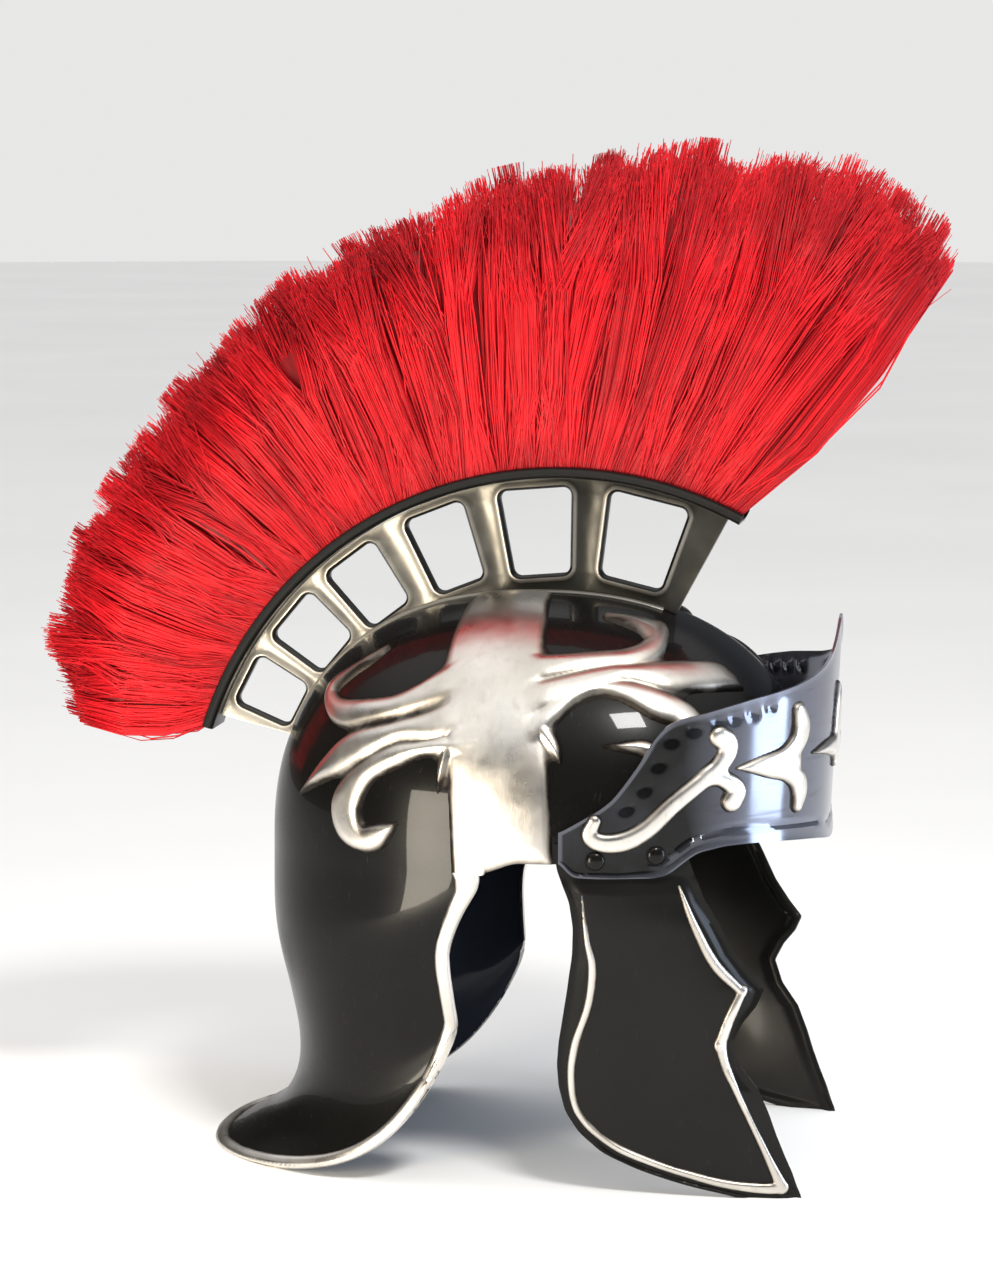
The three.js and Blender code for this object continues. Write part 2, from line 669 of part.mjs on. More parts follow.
function cheekLines(side) {
  const place = (x, z) => new THREE.Vector3(x, side * cheekSide(x, z), z);
  const { lineLift, lineHeight } = RELIEF;
  const solids = CHEEK_LINES.map((stroke) => {
    const grid = strokeGrid(stroke, STROKE_ROWS.cheek, 1, place);
    return thicken(patch(side < 0 ? flip(grid) : grid), lineLift, lineLift + lineHeight);
  });
  return joined(solids);
}

// Scrolls of the bowl

function bowlScrolls(side) {
  const place = (x, z) => {
    const low = Math.min(z, bowlHeight(x, RELIEF.holderClearance));
    return new THREE.Vector3(x, -side * bowlSide(x, low), low);
  };
  const { scrollLift, scrollHeight } = RELIEF;
  const high = scrollLift + scrollHeight;
  const trunk = TRUNK.map(({ z, rear, front }) => {
    const line = [];
    for (let j = 0; j <= 3; j++) line.push(place(THREE.MathUtils.lerp(rear, front, j / 3), z));
    return line;
  });
  const solids = [thicken(patch(side < 0 ? trunk : flip(trunk)), scrollLift, high)];
  for (const stroke of Object.values(SCROLLS)) {
    const grid = strokeGrid(stroke, STROKE_ROWS.bowl, 2, place);
    solids.push(thicken(patch(side < 0 ? flip(grid) : grid), scrollLift, high));
  }
  return joined(solids);
}

// Rivets through the brow band, the cheek guard and the bowl

function rivetFrame({ x, z }, side) {
  const step = 0.5;
  const point = (u) => new THREE.Vector3(u, side * cheekSide(u, z), z);
  const tangent = point(x + step).sub(point(x - step)).normalize();
  const outward = new THREE.Vector3(tangent.y, -tangent.x, 0);
  if (outward.y * side < 0) outward.negate();
  return { centre: point(x), outward };
}

function rivetProfile() {
  const { headRadius, headHeight, dome, shank, tailRadius, tailHeight, tailTaper } = RIVET;
  const seat = GAP + SHEET + RIVET.headGap;
  const back = -(SHEET + GAP + SHEET + RIVET.tailGap);
  const points = [[0, seat + headHeight]];
  for (const share of dome) {
    const height = headHeight * Math.sqrt(Math.max(0, 1 - share ** 2));
    points.push([headRadius * share, seat + height]);
  }
  const end = back - tailHeight;
  points.push([shank, seat], [shank, back], [tailRadius, back], [tailRadius * tailTaper, end], [0, end]);
  return points.reverse().map(([r, y]) => new THREE.Vector2(r, y));
}

function drill(solid, side) {
  let result = solid;
  for (const rivet of RIVETS) {
    const { centre, outward } = rivetFrame(rivet, side);
    const bore = new THREE.CylinderGeometry(RIVET.hole, RIVET.hole, RIVET.bore, RIVET.segments);
    bore.applyQuaternion(new THREE.Quaternion().setFromUnitVectors(new THREE.Vector3(0, 1, 0), outward));
    bore.translate(centre.x, centre.y, centre.z);
    result = result.subtract(toSolid(bore));
  }
  return result;
}

// A solid cut flat where it stands on the surface
function standing(solid) {
  return solid.trimByPlane([0, 0, 1], 0);
}

// Assembly

const helmet = new THREE.Group();

function add(name, geometry, finish) {
  const mesh = new THREE.Mesh(geometry, new THREE.MeshStandardMaterial(FINISH[finish]));
  mesh.name = name;
  helmet.add(mesh);
  return mesh;
}

const SIDES = [
  { name: 'right', side: -1 },
  { name: 'left', side: 1 },
];

const grids = skullGrids();
const skull = drill(drill(thicken(skullSurface(grids), -SHEET, 0), -1), 1);
add('skull', toGeometry(standing(skull)), 'blackPaint');
const edge = thicken(patch(neckEdgeGrid(grids.neck)), RELIEF.edgeLift, RELIEF.edgeLift + RELIEF.edgeHeight);
add('neck_edge', toGeometry(standing(edge)), 'brightSteel');
add('crest_holder', holderGeometry(), 'gunmetal');
add('crest_channel', channelGeometry(), 'blackPaint');
add('plume', plumeGeometry(), 'redBristle');
add('brow_band', toGeometry(drill(drill(thicken(visorSurface(), -SHEET, 0), -1), 1)), 'darkSteel');
add('brow_scroll_centre', toGeometry(browRelief(BROW_STROKES.centre, 1, 2)), 'brightSteel');

for (const { name, side } of SIDES) {
  add(`scroll_${name}`, toGeometry(bowlScrolls(side)), 'brightSteel');
  add(`brow_scroll_${name}`, toGeometry(browRelief(BROW_STROKES.side, -side, 1)), 'brightSteel');
  add(`brow_arrow_${name}`, toGeometry(browRelief(BROW_STROKES.arrow, -side, 1)), 'brightSteel');
  const guard = drill(thicken(cheekSurface(side), -SHEET, 0), side);
  add(`cheek_guard_${name}`, toGeometry(standing(guard)), 'blackPaint');
  add(`cheek_line_${name}`, toGeometry(cheekLines(side)), 'brightSteel');
  for (const rivet of RIVETS) {
    const { centre, outward } = rivetFrame(rivet, side);
    const turned = new THREE.LatheGeometry(rivetProfile(), RIVET.segments);
    const mesh = add(`rivet_${rivet.name}_${name}`, turned, 'blackPaint');
    mesh.position.copy(centre);
    mesh.quaternion.setFromUnitVectors(new THREE.Vector3(0, 1, 0), outward);
  }
}

// The origin is the middle of the footprint, on the surface that the helmet stands on
const middle = new THREE.Box3().setFromObject(helmet).getCenter(new THREE.Vector3());
helmet.position.x = -middle.x;

export default helmet;
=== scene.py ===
"""Looks of a Roman legionary helmet with a fore-and-aft bristle crest.

Shapes are worked out in millimetres in the helmet's own frame: +X to the front, -Y the side that
the photograph shows, +Z up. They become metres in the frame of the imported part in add_mesh().
"""

import math

import bpy
import numpy as np
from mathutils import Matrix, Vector
from mathutils.geometry import delaunay_2d_cdt


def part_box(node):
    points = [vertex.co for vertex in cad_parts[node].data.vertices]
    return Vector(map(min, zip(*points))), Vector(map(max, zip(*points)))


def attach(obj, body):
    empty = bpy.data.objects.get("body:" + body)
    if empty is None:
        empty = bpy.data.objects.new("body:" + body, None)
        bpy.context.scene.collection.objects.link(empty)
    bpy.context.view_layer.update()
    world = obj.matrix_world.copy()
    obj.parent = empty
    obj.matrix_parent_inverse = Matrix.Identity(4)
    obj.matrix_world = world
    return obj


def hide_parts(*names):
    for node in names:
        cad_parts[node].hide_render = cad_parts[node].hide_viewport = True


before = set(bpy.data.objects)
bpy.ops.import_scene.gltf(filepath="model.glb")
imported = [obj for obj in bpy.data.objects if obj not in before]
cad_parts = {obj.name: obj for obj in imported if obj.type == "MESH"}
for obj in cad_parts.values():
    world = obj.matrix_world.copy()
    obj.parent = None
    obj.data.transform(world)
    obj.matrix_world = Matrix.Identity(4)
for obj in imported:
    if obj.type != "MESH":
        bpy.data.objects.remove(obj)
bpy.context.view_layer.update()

# Driving dimensions, the same as the solids'
SHEET = 1.2
GAP = 0.3
SQUARENESS = 2.3
BOWL = {"half_length": 119.0, "half_width": 98.0, "rise": 106.0, "base": 138.0}
CREST = {"x": 8.0, "z": 130.0, "top_radius": 169.0, "front": 62.5, "rear": 162.0}
HOLDER = {"half": 3.0, "front": 64.5, "rear": 160.0, "foot_front": 56.0, "foot_rear": -113.3,
          "window_top": 159.5, "corner": 3.5}
CHANNEL = {"half_width": 12.0, "wall": 1.5, "depth": 5.0}
CROWN_BEAD = {"y": 4.6, "half_width": 1.7, "height": 1.5}
VISOR = {"half_length": 122.0, "half_width": 101.0, "flare_front": 0.05, "flare_side": 0.02}
VISOR_TOP = 238.0
CHEEK_FOOT = {"half_length": 210.0, "half_width": 82.0}
RIVETS = ((36.0, 145.5, "rear"), (60.0, 147.5, "front"))

# Windows of the crest holder, rear to front: from, to (degrees about the crest centre), inner radius
WINDOWS = (
    (148.6, 157.2, 134.0),
    (135.5, 145.0, 132.5),
    (122.4, 131.8, 129.0),
    (106.7, 116.5, 125.0),
    (89.2, 100.7, 122.0),
    (70.4, 83.0, 122.3),
)

# Rims round a window: growth of its outline, half thickness of the plate, raised (painted highlight),
# groove (painted shade at the window's edge)
WINDOW_RIMS = (
    (0.0, 2.0, 0.0, 1.0),
    (0.9, 3.4, 0.0, 1.0),
    (1.3, 3.8, 0.6, 0.1),
    (2.2, 3.7, 0.7, 0.0),
    (3.2, 3.0, 0.0, 0.0),
)

# Neck guard rows: side x, side y, side z, rear x, rear z, width of the silver edge
NECK = np.array([
    (-9.6, 97.8, 138.5, -119.0, 138.5, 11.2),
    (-17.0, 97.0, 132.0, -119.5, 124.0, 7.8),
    (-23.0, 95.5, 123.0, -118.5, 106.0, 6.2),
    (-26.0, 92.0, 110.0, -115.5, 88.0, 6.0),
    (-27.0, 88.0, 96.0, -111.5, 70.0, 5.6),
    (-26.0, 84.5, 82.0, -108.5, 53.0, 5.4),
    (-25.0, 82.5, 73.0, -108.5, 39.0, 5.4),
    (-25.0, 82.5, 69.0, -112.0, 27.0, 5.4),
    (-25.5, 83.0, 66.5, -119.5, 16.5, 5.4),
    (-26.0, 84.0, 64.5, -132.5, 8.0, 5.4),
    (-27.0, 85.0, 62.5, -147.0, 0.0, 5.4),
])

# Brow band: angle from the front, top and bottom height
BROW = np.array([
    (0, 238, 141), (3, 233, 141.5), (6, 227, 142.5), (9, 222.5, 143.5), (13, 219, 145),
    (18, 216.2, 146.5), (24, 213.7, 148), (30, 212, 149.3), (36, 210.4, 150), (42, 208, 150),
    (48, 205.3, 148), (51, 204.3, 144), (54, 202.5, 139.5), (57, 197, 138), (60, 187, 138),
    (63, 178.5, 138), (66, 171, 138), (69, 166.5, 138), (75, 160, 138.5), (78, 157, 145),
])

# Cheek guard: height, rear edge and front edge
CHEEK = np.array([
    (152, 19, 71), (141, 20.5, 74.5), (128, 25.5, 79), (117, 27, 85), (105, 26.5, 91),
    (96, 25, 97.5), (89, 24, 103.5), (82, 22.7, 100.5), (75, 21.5, 95), (67, 20, 91),
    (57, 19, 94.5), (47, 19.5, 102), (36, 22, 106.5), (27, 27.5, 109.5), (18, 37.5, 113),
    (11, 53, 116), (5, 72, 118), (1.5, 88, 119.5), (-0.4, 97, 120),
])

# Reach of the bristle tips about the crest centre, by angle
REACH = np.array([
    (56, 298), (60, 317), (66, 324), (72, 315), (80, 309), (88, 298), (97, 292), (103, 282),
    (118, 275), (131, 263), (145, 255), (157, 250), (163, 236), (168, 222),
])

# Trunk of the silver relief: height, rear edge and front edge
TRUNK = np.array([
    (244, -29, 4), (241.6, -30, 5), (240, -31, 6), (236.5, -31.5, 7), (231, -32.5, 8),
    (224, -33, 9), (212, -31, 11), (198, -28.5, 13), (180, -26.5, 16), (160, -25, 17.5),
    (141.5, -24, 18.5), (138, -24, 18.7),
])

# Strokes of the silver relief in side view: x, z, half width
SCROLLS = (
    ((-16, 222, 6), (-33, 212, 5.8), (-50, 204, 4.5), (-66, 200, 4.9), (-77, 198, 5.4),
     (-84, 202, 4.1), (-84, 207, 2.9), (-77, 213, 2.1), (-68, 219, 1.6), (-61, 224, 0.8)),
    ((-14, 209, 6.6), (-31, 198, 6.6), (-49, 194, 4.5), (-68, 186, 6.2), (-80, 177, 4.9),
     (-96, 163, 0.3)),
    ((-15, 191, 5), (-37, 188, 3.7), (-50, 184, 4.9), (-63, 176, 4.9), (-71, 164, 7),
     (-70, 154, 7), (-64, 149.5, 5.8), (-57, 151, 5.4), (-48, 157, 0.5)),
    ((0, 219, 6), (28, 222.5, 3.7), (44, 223.5, 4), (52, 226.5, 4.8), (52.5, 230.5, 4),
     (47.5, 233.6, 2.4), (40, 236, 1.8), (30, 238, 0.9)),
    ((2, 207, 6.6), (34, 216, 4.9), (45, 218, 3.6), (62, 216, 5.8), (74, 215, 5.2),
     (83, 212, 2.9), (89, 208.5, 0.3)),
    ((8, 196, 5), (16, 204, 4.6), (24, 210, 3.4), (34, 213, 3), (46, 211, 4.1), (58, 206, 5.4),
     (67, 202, 4.9), (72, 196, 4.5), (67, 190.5, 3.7), (58, 189, 3.3), (51, 190.5, 2.9),
     (37, 191, 0.5)),
    ((-22, 196, 4), (-26.5, 189, 3.4), (-29, 180, 2.2), (-30.5, 171, 0.3)),
    ((11, 198, 4), (17, 191, 3), (20.8, 184, 0.3)),
)

# Strokes of the brow band: angle from the front, z, half width
BROW_SIDE = (
    ((70, 162, 3.2), (71, 156.5, 3.8), (68.5, 153.2, 4.1), (63.7, 153.6, 4.4), (58.7, 158.5, 4.1),
     (53.5, 168, 4), (48.4, 176, 3.9), (44.5, 182, 4), (42, 188, 4.2), (41.9, 193, 4.7),
     (43.6, 196, 4.4)),
    ((45.5, 180, 3.3), (42.2, 177.5, 3.8), (39.6, 173, 4.6), (40.5, 168.5, 4.8)),
)
BROW_ARROW = (
    ((39.5, 182, 0.5), (35.1, 182, 3.3), (29.8, 181.5, 5.8), (24.5, 181.5, 4.1)),
    ((30, 182, 3.7), (24.5, 188, 5), (22.6, 195, 5.5), (23.6, 203, 3.6)),
    ((30, 181, 3.7), (24, 175, 5), (22.2, 169, 5), (22.8, 162.5, 3.4)),
)
BROW_CENTRE = (
    ((-17.5, 183, 0.5), (-10, 183, 3), (0, 181, 5), (10, 183, 3), (17.5, 183, 0.5)),
    ((0, 174, 3), (0, 186, 6), (0, 198, 4.5), (0, 208, 0.5)),
)
DIMPLES = ((63, 168), (59.2, 176), (56.3, 186), (53.7, 196), (49, 200), (43.8, 202.5),
           (40.2, 203.5), (36.1, 204.5), (31.6, 206))

# Ridges of a cheek guard in side view: x, z, half width
CHEEK_LINES = (
    ((31, 131, 0.5), (33, 112, 1.2), (35, 100, 1.8), (33, 84, 1.7), (27, 66, 1.7), (25, 50, 1.7),
     (27.5, 36, 1.6), (37, 25.5, 1.6), (50, 18, 1.6), (70, 11, 1.6), (89, 6, 2), (104, 4.4, 2.4),
     (112, 4.6, 2.6)),
    ((69.5, 134, 0.6), (76, 117, 1.6), (84, 101, 2), (95, 88.5, 1.8)),
    ((95.5, 89.5, 1.8), (90, 77, 2.2), (86.5, 66, 2.3)),
    ((86.6, 67, 2.3), (89, 57, 1.7), (97, 38, 1.5), (106, 18, 1.7), (112, 4.6, 2.6)),
)

# Rivet under its head: radius and height over the cheek guard's outer face
RIVET_SEAT = 1.5
RIVET_SHANK = ((0.0, -4.9), (2.6, -4.9), (3.3, -4.3), (3.4, -3.4), (2.0, -3.2), (2.0, RIVET_SEAT),
               (4.3, RIVET_SEAT), (4.3, RIVET_SEAT + 0.4))
RIVET_DOME = {"radius": 3.9, "height": 2.0}

# Backing of the plume, in a darker red as painted shade: share of the reach and half width
BACKING = ((0.0, 9.2), (0.06, 9.0), (0.25, 10.5), (0.45, 12.0), (0.62, 12.0), (0.76, 9.5),
           (0.86, 5.0), (0.9, 0.6))

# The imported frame's origin lies this far behind the helmet's own, as the brow band's front shows
VISOR_FRONT = VISOR["half_length"] + (VISOR_TOP - BOWL["base"]) * VISOR["flare_front"]
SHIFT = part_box("brow_band")[1].x * 1000 - VISOR_FRONT


# Curves and tables

def smooth(value, low=0.0, high=1.0):
    t = np.clip((value - low) / (high - low), 0, 1)
    return t * t * (3 - 2 * t)


def spline(rows, per_span):
    """Catmull-Rom curve through the rows of a table."""
    rows = np.asarray(rows, float)
    padded = np.vstack([2 * rows[0] - rows[1], rows, 2 * rows[-1] - rows[-2]])
    t = np.linspace(0, 1, per_span, endpoint=False)[:, None]
    parts = []
    for a, b, c, d in zip(padded, padded[1:], padded[2:], padded[3:]):
        parts.append(0.5 * (2 * b + (c - a) * t + (2 * a - 5 * b + 4 * c - d) * t**2
                            + (3 * b - a - 3 * c + d) * t**3))
    return np.vstack([*parts, rows[-1:]])


def table_curve(table, column, at, blur):
    """A column of a table at the given keys, with its corners rounded over a length."""
    order = np.argsort(table[:, 0])
    keys, values = table[order, 0], table[order, column]
    spread = np.linspace(-1, 1, 9) * blur
    weights = np.cos(np.linspace(-1, 1, 9) * math.pi / 2) + 0.05
    sums = sum(w * np.interp(at + s, keys, values) for s, w in zip(spread, weights))
    return sums / weights.sum()


def super_radius(angle, a, b):
    c = np.abs(np.cos(angle) / a) ** SQUARENESS
    s = np.abs(np.sin(angle) / b) ** SQUARENESS
    return (c + s) ** (-1 / SQUARENESS)


# Meshes

def unit(vectors):
    return vectors / np.maximum(np.linalg.norm(vectors, axis=-1, keepdims=True), 1e-9)


def vertex_normals(points, quads):
    p = points[quads]
    face = np.cross(p[:, 2] - p[:, 0], p[:, 3] - p[:, 1])
    normals = np.zeros_like(points)
    for corner in range(4):
        np.add.at(normals, quads[:, corner], face)
    return unit(normals)


def grid_quads(rows, columns, closed=False):
    i, j = np.meshgrid(np.arange(rows - 1), np.arange(columns - (0 if closed else 1)), indexing="ij")
    i, j = i.ravel(), j.ravel()
    k = (j + 1) % columns
    return np.stack([i * columns + j, (i + 1) * columns + j, (i + 1) * columns + k, i * columns + k], 1)


def shell(points, quads, high, low, outward, fields=None):
    """Closed sheet between two offsets of a surface, turned so that its normals look outward.

    Returns the corners, the faces and the fields of the corners.
    """
    used, flat = np.unique(quads, return_inverse=True)
    quads = flat.reshape(quads.shape)
    points = points[used]
    count = len(points)
    high, low = high[used], low[used]
    normals = vertex_normals(points, quads)
    if np.sum(normals * outward(points)) < 0:
        quads = quads[:, ::-1]
        normals = -normals
    corners = np.vstack([points + normals * high[:, None], points + normals * low[:, None]])
    edges = np.vstack([quads[:, [a, (a + 1) % 4]] for a in range(4)])
    forward = edges[:, 0] * count + edges[:, 1]
    backward = edges[:, 1] * count + edges[:, 0]
    rim = edges[~np.isin(forward, backward)]
    rim = rim[rim[:, 0] != rim[:, 1]]
    walls = np.stack([rim[:, 1], rim[:, 0], rim[:, 0] + count, rim[:, 1] + count], 1)
    faces = np.vstack([quads, quads[:, ::-1] + count, walls])
    values = {name: np.concatenate([v[used], v[used]]) for name, v in (fields or {}).items()}
    return corners, faces, values


def placed(name, data):
    """A new object in the scene."""
    made = bpy.data.objects.new(name, data)
    bpy.context.scene.collection.objects.link(made)
    return made


def add_mesh(name, corners, faces, material, fields=None, sharp=35.0):
    """A smooth mesh object from corners in millimetres in the helmet's own frame."""
    metres = (np.asarray(corners, float) + (SHIFT, 0, 0)) / 1000
    metres[:, 2] = np.maximum(metres[:, 2], 0)
    mesh = bpy.data.meshes.new(name)
    rows = [[c for k, c in enumerate(face) if c != face[k - 1]] for face in np.asarray(faces).tolist()]
    mesh.from_pydata(metres.tolist(), [], [row for row in rows if len(row) > 2])
    mesh.materials.append(material)
    for field, values in (fields or {}).items():
        mesh.attributes.new(field, "FLOAT", "POINT").data.foreach_set("value", values.astype(np.float32))
    mesh.polygons.foreach_set("use_smooth", [True] * len(mesh.polygons))
    mesh.set_sharp_from_angle(angle=math.radians(sharp))
    mesh.validate()
    piece = placed(name, mesh)
    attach(piece, "root")
    return piece


def from_middle(points):
    return points - (0, 0, 120.0)


def grid_piece(name, material, points, high, low, outward=from_middle, keep=None, sharp=35.0, **fields):
    """Closed sheet between two offsets of a grid of points: all its cells, or those that touch keep > 0."""
    shape = points.shape[:2]
    high, low = (np.broadcast_to(offset, shape).ravel() for offset in (high, low))
    quads = grid_quads(*shape)
    if keep is not None:
        quads = quads[(keep.ravel()[quads] > 0).any(1)]
    fields = {field: values.ravel() for field, values in fields.items()}
    corners, faces, fields = shell(points.reshape(-1, 3), quads, high, low, outward, fields)
    return add_mesh(name, corners, faces, material, fields, sharp)


# Strokes laid on a surface

def joined(a, b, web):
    """Larger of two depths, with a fillet where they are nearly equal."""
    near = np.maximum(web - np.abs(a - b), 0) / web
    return np.maximum(a, b) + near * near * web / 4


def stroke_depth(strokes, u, v, scale_u=1.0, web=4.0):
    """Depth in millimetres of the points (u, v) inside strokes, negative outside.

    Returns the depth in their union with fillets, and the depth in the nearest stroke alone.
    """
    flat = np.stack([np.ravel(u), np.ravel(v)], 1)
    total, largest = np.full(len(flat), -99.0), np.full(len(flat), -99.0)
    for stroke in strokes:
        line = spline(stroke, 7)
        line[:, 0] *= scale_u
        best = np.full(len(flat), -99.0)
        for a, b in zip(line, line[1:]):
            ab = b[:2] - a[:2]
            t = np.clip(((flat - a[:2]) @ ab) / max(ab @ ab, 1e-9), 0, 1)
            gap = np.linalg.norm(flat - a[:2] - t[:, None] * ab, axis=1)
            best = np.maximum(best, np.maximum(a[2] + (b[2] - a[2]) * t, 0.3) - gap)
        total = joined(total, best, web)
        largest = np.maximum(largest, best)
    return total.reshape(np.shape(u)), largest.reshape(np.shape(u))


def round_profile(share):
    """Height of a rounded relief by its share of the edge's width; it dives under the surface outside."""
    inside = np.sqrt(np.clip(1 - (1 - np.clip(share, 0, 1)) ** 2, 0, 1))
    return np.where(share > 0, inside, share * 2.5)


def relief(name, points, share, height, base, material):
    """Raised silver relief on a grid of points: the cells where its share of height is above zero."""
    top = np.maximum(round_profile(share) * height, base + 0.1)
    # The share goes on as the raised field, which paints shade with tarnish along the relief's edges.
    return grid_piece(name, material, points, top, base, keep=share, sharp=60,
                      raised=np.clip(share, 0, 1))


# Surfaces

def bowl_point(angle, polar):
    ring = super_radius(angle, BOWL["half_length"], BOWL["half_width"])
    spread = ring * np.sin(polar) ** (2 / SQUARENESS)
    height = BOWL["rise"] * np.clip(np.cos(polar), 0, 1) ** (2 / SQUARENESS)
    return np.stack([spread * np.cos(angle), spread * np.sin(angle), BOWL["base"] + height], -1)


def bowl_height(x, y):
    along = np.abs(x / BOWL["half_length"]) ** SQUARENESS + np.abs(y / BOWL["half_width"]) ** SQUARENESS
    return BOWL["base"] + BOWL["rise"] * np.clip(1 - along, 0, 1) ** (1 / SQUARENESS)


NECK_SWEEP = math.radians(82.5)
NECK_CORNER = {"row": 6.2, "share": 0.075}
NECK_LINES = spline(NECK, 16)


def neck_point(u, t):
    """Neck guard at row u, 0 at the ear arch and 10 at the rim, and t from -1 to 1 round the back."""
    rows = np.linspace(0, len(NECK) - 1, len(NECK_LINES))
    side_x, side_y, side_z, rear_x, rear_z = (np.interp(u, rows, NECK_LINES[:, k]) for k in range(5))
    angle = t * math.pi / 2
    radius = super_radius(angle, side_x - rear_x, side_y)
    turn = math.pi + t * NECK_SWEEP
    ring = super_radius(turn, BOWL["half_length"], BOWL["half_width"])
    share = smooth(u, 0, 3.8)
    x = (side_x - radius * np.cos(angle)) * share + ring * np.cos(turn) * (1 - share)
    y = -radius * np.sin(angle) * share + ring * np.sin(turn) * (1 - share)
    z = rear_z + (side_z - rear_z) * np.abs(t) ** (2 + 3 * u / (len(NECK) - 1))
    return np.stack([x, y, z], -1)


def neck_surface(u, side):
    """Neck guard as far as its sides, with the corner between side and rim rounded off."""
    start = NECK_CORNER["row"]
    down = np.clip((u - start) / (len(NECK) - 1 - start), 0, 1)
    return neck_point(u, side * (1 - NECK_CORNER["share"] * (1 - np.sqrt(1 - down**2))))


def visor_point(degrees, z):
    rise = z - BOWL["base"]
    angle = np.radians(degrees)
    a = VISOR["half_length"] + rise * VISOR["flare_front"]
    b = VISOR["half_width"] + rise * VISOR["flare_side"]
    radius = super_radius(angle, a, b)
    return np.stack([radius * np.cos(angle), -radius * np.sin(angle), z], -1)


def cheek_width(x, z):
    down = smooth((BOWL["base"] - z) / BOWL["base"])
    outside = GAP + SHEET
    half_width, half_length = (
        BOWL[key] + outside + (CHEEK_FOOT[key] - BOWL[key] - outside) * down
        for key in ("half_width", "half_length")
    )
    rest = 1 - np.abs(x / half_length) ** SQUARENESS
    return half_width * np.clip(rest, 0, 1) ** (1 / SQUARENESS)


def crest_point(degrees, radius, y=0.0):
    angle = np.radians(degrees)
    x = CREST["x"] + radius * np.cos(angle)
    z = CREST["z"] + radius * np.sin(angle)
    return np.stack([x, np.broadcast_to(y, np.shape(x)), z], -1)


# Materials

class Nodes:
    """Short calls for the node tree of a material or of the world."""

    def __init__(self, owner, coordinates="Object"):
        owner.use_nodes = True
        self.owner, self.tree = owner, owner.node_tree
        self.position = self.node("ShaderNodeTexCoord").outputs[coordinates]

    def node(self, kind, **settings):
        made = self.tree.nodes.new(kind)
        for key, value in settings.items():
            setattr(made, key, value)
        return made

    def plug(self, value, socket):
        if isinstance(value, bpy.types.NodeSocket):
            self.tree.links.new(value, socket)
        else:
            socket.default_value = value

    def stretched(self, scale):
        mapping = self.node("ShaderNodeMapping")
        self.plug(self.position, mapping.inputs["Vector"])
        mapping.inputs["Scale"].default_value = scale
        return mapping.outputs["Vector"]

    def noise(self, scale, detail=4.0, stretch=None, distortion=0.0):
        made = self.node("ShaderNodeTexNoise")
        self.plug(self.stretched(stretch) if stretch else self.position, made.inputs["Vector"])
        made.inputs["Scale"].default_value = scale
        made.inputs["Detail"].default_value = detail
        made.inputs["Distortion"].default_value = distortion
        return made.outputs["Fac"]

    def axis(self, letter):
        split = self.node("ShaderNodeSeparateXYZ")
        self.plug(self.position, split.inputs["Vector"])
        return split.outputs[letter]

    def field(self, name):
        return self.node("ShaderNodeAttribute", attribute_name=name).outputs["Fac"]

    def span(self, value, low, high, to_low=0.0, to_high=1.0, **settings):
        made = self.node("ShaderNodeMapRange", **settings)
        self.plug(value, made.inputs["Value"])
        ends = {"From Min": low, "From Max": high, "To Min": to_low, "To Max": to_high}
        for socket, number in ends.items():
            made.inputs[socket].default_value = number
        return made.outputs["Result"]

    def math(self, operation, a, b=0.0):
        made = self.node("ShaderNodeMath", operation=operation)
        self.plug(a, made.inputs[0])
        self.plug(b, made.inputs[1])
        return made.outputs["Value"]

    def mix(self, share, a, b):
        made = self.node("ShaderNodeMix", data_type="RGBA")
        self.plug(share, made.inputs["Factor"])
        self.plug(a, made.inputs["A"])
        self.plug(b, made.inputs["B"])
        return made.outputs["Result"]

    def bump(self, height, strength, distance, under=None):
        made = self.node("ShaderNodeBump")
        made.inputs["Strength"].default_value = strength
        made.inputs["Distance"].default_value = distance
        self.plug(height, made.inputs["Height"])
        if under is not None:
            self.plug(under, made.inputs["Normal"])
        return made.outputs["Normal"]

    def finish(self, **inputs):
        shader = self.tree.nodes["Principled BSDF"]
        for key, value in inputs.items():
            self.plug(value, shader.inputs[key.replace("_", " ")])
        return self.owner


def colour(r, g, b):
    return (r, g, b, 1.0)


def black_paint(name, dark, light, rough, level, coat, coat_rough):
    """Black paint under a thin clear coat, with a few scratches; the sheet's inner face is duller."""
    n = Nodes(bpy.data.materials.new(name))
    inner = n.field("inner")
    cloud = n.noise(9, 5)
    scratch = n.span(n.noise(70, 6, stretch=(9, 9, 1.4), distortion=0.8), 0.66, 0.76)
    speck = n.span(n.noise(650, 2), 0.74, 0.79)
    worn = n.math("MULTIPLY", n.math("ADD", scratch, speck), 0.05)
    tint = n.mix(n.span(cloud, 0.3, 0.7), colour(*dark), colour(*light))
    tint = n.mix(worn, tint, colour(0.2, 0.18, 0.15))
    tint = n.mix(inner, tint, colour(0.014, 0.017, 0.024))
    gloss = n.span(n.noise(35, 5), 0.3, 0.7, rough, rough + 0.09)
    gloss = n.math("ADD", gloss, n.math("MULTIPLY", worn, 1.5))
    gloss = n.math("ADD", gloss, n.math("MULTIPLY", inner, 0.16))
    dents = n.bump(n.noise(14, 2), 0.1, 0.002)
    skin = n.bump(n.noise(380, 3), 0.04, 0.0004, dents)
    return n.finish(Base_Color=tint, Roughness=gloss, Normal=skin, Metallic=0.0, Specular_IOR_Level=level,
                    Coat_Weight=coat, Coat_Roughness=coat_rough, Coat_Normal=dents)


